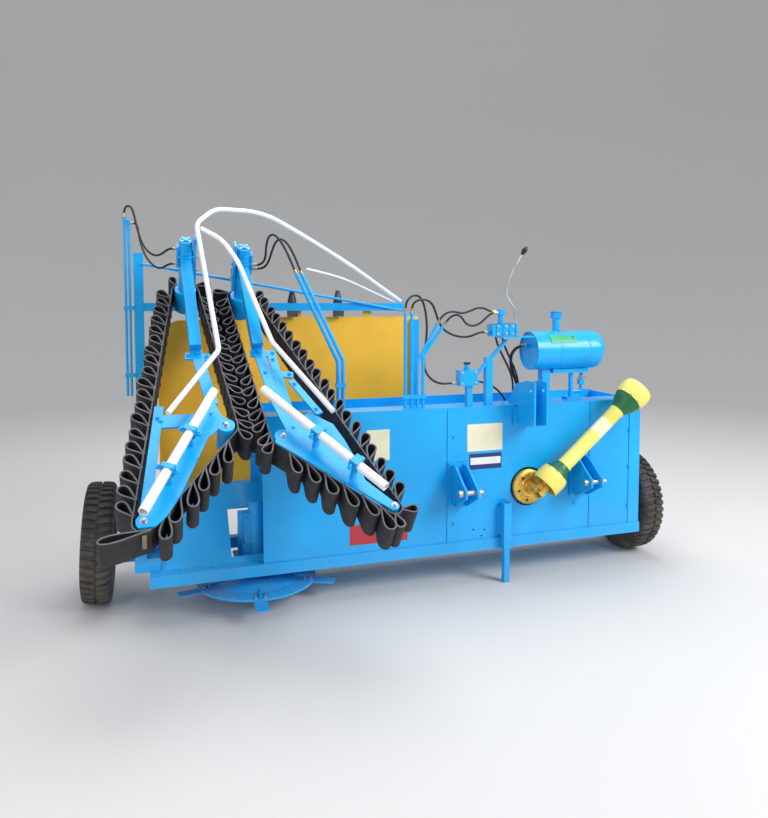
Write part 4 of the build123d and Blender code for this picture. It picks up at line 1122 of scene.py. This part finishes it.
def bowl():
    """The backdrop's vertices and faces: a round floor that curves up into a wall."""
    profile = [(FLOOR_RADIUS, 0)]
    for step in range(1, RIM_STEPS + 1):
        turn = math.pi / 2 * step / RIM_STEPS
        profile.append((FLOOR_RADIUS + RIM_RADIUS * math.sin(turn), RIM_RADIUS - RIM_RADIUS * math.cos(turn)))
    profile.append((FLOOR_RADIUS + RIM_RADIUS, WALL_TOP))
    verts = [(0, 0, 0)]
    for out, height in profile:
        for side in range(BOWL_SIDES):
            turn = math.tau * side / BOWL_SIDES
            verts.append((out * math.cos(turn), out * math.sin(turn), height))
    faces = [(0, 1 + side, 1 + (side + 1) % BOWL_SIDES) for side in range(BOWL_SIDES)]
    for row in range(len(profile) - 1):
        low = 1 + row * BOWL_SIDES
        high = low + BOWL_SIDES
        for side in range(BOWL_SIDES):
            after = (side + 1) % BOWL_SIDES
            faces.append((low + side, high + side, high + after, low + after))
    return verts, faces


def backdrop_finish(name, value):
    """The floor's plain pale finish."""
    material, shader = new_finish(name, specular=0.2)
    shader.inputs["Base Color"].default_value = (value, value, value, 1)
    shader.inputs["Roughness"].default_value = 0.9
    return material


# Operators

class HARVESTER_OT_finishes(bpy.types.Operator):
    """Gives every carried node of the frame its finish."""

    bl_idname = "harvester.finishes"
    bl_label = "Paint and finishes"

    def execute(self, context):
        missing = sorted(set(NODES) - {node for nodes in NODE_FINISH.values() for node in nodes})
        if missing:
            raise RuntimeError(f"Nodes without a finish: {missing}")
        for finish, nodes in NODE_FINISH.items():
            for node in nodes:
                piece = NODES[node]
                piece.data.materials.clear()
                piece.data.materials.append(finish_named(finish))
        return {"FINISHED"}


class HARVESTER_OT_hoses(bpy.types.Operator):
    """Makes the rubber hoses along their routes, and their end fittings."""

    bl_idname = "harvester.hoses"
    bl_label = "Hoses"

    def execute(self, context):
        for name, radius, length, route in HOSES:
            make_hose(name, radius, route)
        make_hose_ends()
        return {"FINISHED"}


class HARVESTER_OT_belts(bpy.types.Operator):
    """Makes the two rubber gathering belts with their folded loops."""

    bl_idname = "harvester.belts"
    bl_label = "Gathering belts"

    def execute(self, context):
        left = make_belt("gathering_belt_left", LEFT_ROLLERS, LEFT_RUNS, False, 5, TIP_LOOP)
        right = make_belt("gathering_belt_right", RIGHT_ROLLERS, RIGHT_RUNS, True, 8)
        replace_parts(left, "belt_left")
        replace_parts(right, "belt_right")
        return {"FINISHED"}


class HARVESTER_OT_gatherers(bpy.types.Operator):
    """Makes the two gathering frames with their motors, the pipe clamps and the white guards."""

    bl_idname = "harvester.gatherers"
    bl_label = "Gathering frames"

    def execute(self, context):
        left = make_gather_frame("gathering_frame_left", LEFT_BARS, LEFT_PLATE, LEFT_ROLLERS, LEFT_COLUMN_FOOT, 1)
        right = make_gather_frame(
            "gathering_frame_right", RIGHT_BARS, RIGHT_PLATE, RIGHT_ROLLERS, RIGHT_COLUMN_FOOT, -1)
        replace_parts(left, "gather_frame_left")
        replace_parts(right, "gather_frame_right")
        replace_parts(make_gather_motors(), "gather_motors")
        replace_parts(make_pipe_clamps(), "guard_clamps")
        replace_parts(make_arches(), "guard_arch")
        return {"FINISHED"}


class HARVESTER_OT_drive(bpy.types.Operator):
    """Makes the drive shaft's plastic guard and the cast clutch on the gearbox shaft."""

    bl_idname = "harvester.drive"
    bl_label = "Drive shaft"

    def execute(self, context):
        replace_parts(make_shaft_guard(), "shaft_guard")
        make_clutch()
        return {"FINISHED"}


class HARVESTER_OT_trim(bpy.types.Operator):
    """Makes the small fittings: bolts, blank labels, valve and tank details, cutter ribs and wheel bolts."""

    bl_idname = "harvester.trim"
    bl_label = "Small fittings"

    def execute(self, context):
        make_face_trim()
        make_upper_trim()
        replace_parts(make_tank(), "oil_tank")
        make_throat_trim()
        make_cutter_trim()
        make_wheel_bolts("wheel_bolts_left", "wheel_left", *LEFT_WHEEL, -1)
        make_wheel_bolts("wheel_bolts_right", "wheel_right", *RIGHT_WHEEL, 1)
        return {"FINISHED"}


class HARVESTER_OT_tyres(bpy.types.Operator):
    """Makes the two treaded tyres."""

    bl_idname = "harvester.tyres"
    bl_label = "Tyres"

    def execute(self, context):
        left = make_tyre("treaded_tyre_left", "wheel_left", *LEFT_WHEEL, False)
        right = make_tyre("treaded_tyre_right", "wheel_right", *RIGHT_WHEEL, True)
        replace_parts(left, "tyre_left")
        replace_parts(right, "tyre_right")
        return {"FINISHED"}


class HARVESTER_OT_stage(bpy.types.Operator):
    """Sets up the camera, the pale floor and backdrop and the soft lights."""

    bl_idname = "harvester.stage"
    bl_label = "Studio"

    def execute(self, context):
        scene = context.scene
        camera_data = bpy.data.cameras.new("Camera")
        camera_data.lens = CAMERA_LENS
        camera_data.sensor_fit = "HORIZONTAL"
        camera_data.shift_y = CAMERA_SHIFT
        camera_data.clip_end = 60
        camera = bpy.data.objects.new("Camera", camera_data)
        camera.location = CAMERA_PLACE
        camera.rotation_euler = (math.radians(90 - CAMERA_DIP), 0, math.radians(CAMERA_TURN))
        scene.collection.objects.link(camera)
        scene.camera = camera

        verts, faces = bowl()
        floor_data = bpy.data.meshes.new("Floor")
        floor_data.from_pydata(verts, [], faces)
        floor_data.shade_smooth()
        floor = bpy.data.objects.new("Floor", floor_data)
        scene.collection.objects.link(floor)
        floor_data.materials.append(backdrop_finish("Studio floor", FLOOR_GREY))

        world = bpy.data.worlds.new("Studio")
        scene.world = world
        world.use_nodes = True
        sky = world.node_tree.nodes["Background"]
        sky.inputs["Color"].default_value = SKY_COLOUR
        sky.inputs["Strength"].default_value = SKY_STRENGTH

        for name, place, aim, size, power in LIGHTS:
            lamp_data = bpy.data.lights.new(name, "AREA")
            lamp_data.size = size
            lamp_data.energy = power
            lamp = bpy.data.objects.new(name, lamp_data)
            lamp.location = place
            lamp.rotation_euler = (Vector(aim) - Vector(place)).to_track_quat("-Z", "Y").to_euler()
            scene.collection.objects.link(lamp)
        scene.view_settings.view_transform = "Standard"
        return {"FINISHED"}


class HarvesterLook(bpy.types.PropertyGroup):
    """Sizes and colours of the dressed harvester."""

    blue: FloatVectorProperty(
        name="Blue paint", description="Colour of the welded structure", subtype="COLOR", size=3, min=0, max=1,
        default=(0.006, 0.40, 0.88))
    yellow: FloatVectorProperty(
        name="Yellow sheets", description="Colour of the rear guide sheets", subtype="COLOR", size=3, min=0, max=1,
        default=(1.0, 0.54, 0.04))
    rubber: FloatVectorProperty(
        name="Belt rubber", description="Colour of the gathering belts", subtype="COLOR", size=3, min=0, max=1,
        default=(0.022, 0.020, 0.023))
    loop_variation: FloatProperty(
        name="Loop variation", description="How much the belts' loops differ from each other", default=0.1, min=0,
        max=0.3, subtype="FACTOR")
    tyre_blocks: IntProperty(
        name="Tread blocks", description="Blocks round each shoulder of a tyre", default=44, min=20, max=70)


OPERATORS = [
    HARVESTER_OT_stage,
    HARVESTER_OT_hoses,
    HARVESTER_OT_finishes,
    HARVESTER_OT_belts,
    HARVESTER_OT_gatherers,
    HARVESTER_OT_drive,
    HARVESTER_OT_tyres,
    HARVESTER_OT_trim,
]


class HARVESTER_PT_pieces(bpy.types.Panel):
    """Lists the harvester's pieces and its look."""

    bl_idname = "HARVESTER_PT_pieces"
    bl_label = "Harvester"
    bl_space_type = "VIEW_3D"
    bl_region_type = "UI"
    bl_category = "Harvester"

    def draw(self, context):
        for operator in OPERATORS:
            self.layout.operator(operator.bl_idname, text=operator.bl_label)
        look_now = context.scene.harvester_look
        for name in look_now.bl_rna.properties.keys():
            if name not in ("rna_type", "name"):
                self.layout.prop(look_now, name)


CLASSES = [HarvesterLook, *OPERATORS, HARVESTER_PT_pieces]


def register():
    """Registers the classes and the look."""
    for item in CLASSES:
        bpy.utils.register_class(item)
    bpy.types.Scene.harvester_look = PointerProperty(type=HarvesterLook)


def unregister():
    """Takes them away again."""
    del bpy.types.Scene.harvester_look
    for item in reversed(CLASSES):
        bpy.utils.unregister_class(item)


def main():
    """Dresses the frame."""
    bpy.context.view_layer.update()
    register()
    for operator in OPERATORS:
        group, name = operator.bl_idname.split(".")
        getattr(getattr(bpy.ops, group), name)()


if __name__ == "__main__":
    main()
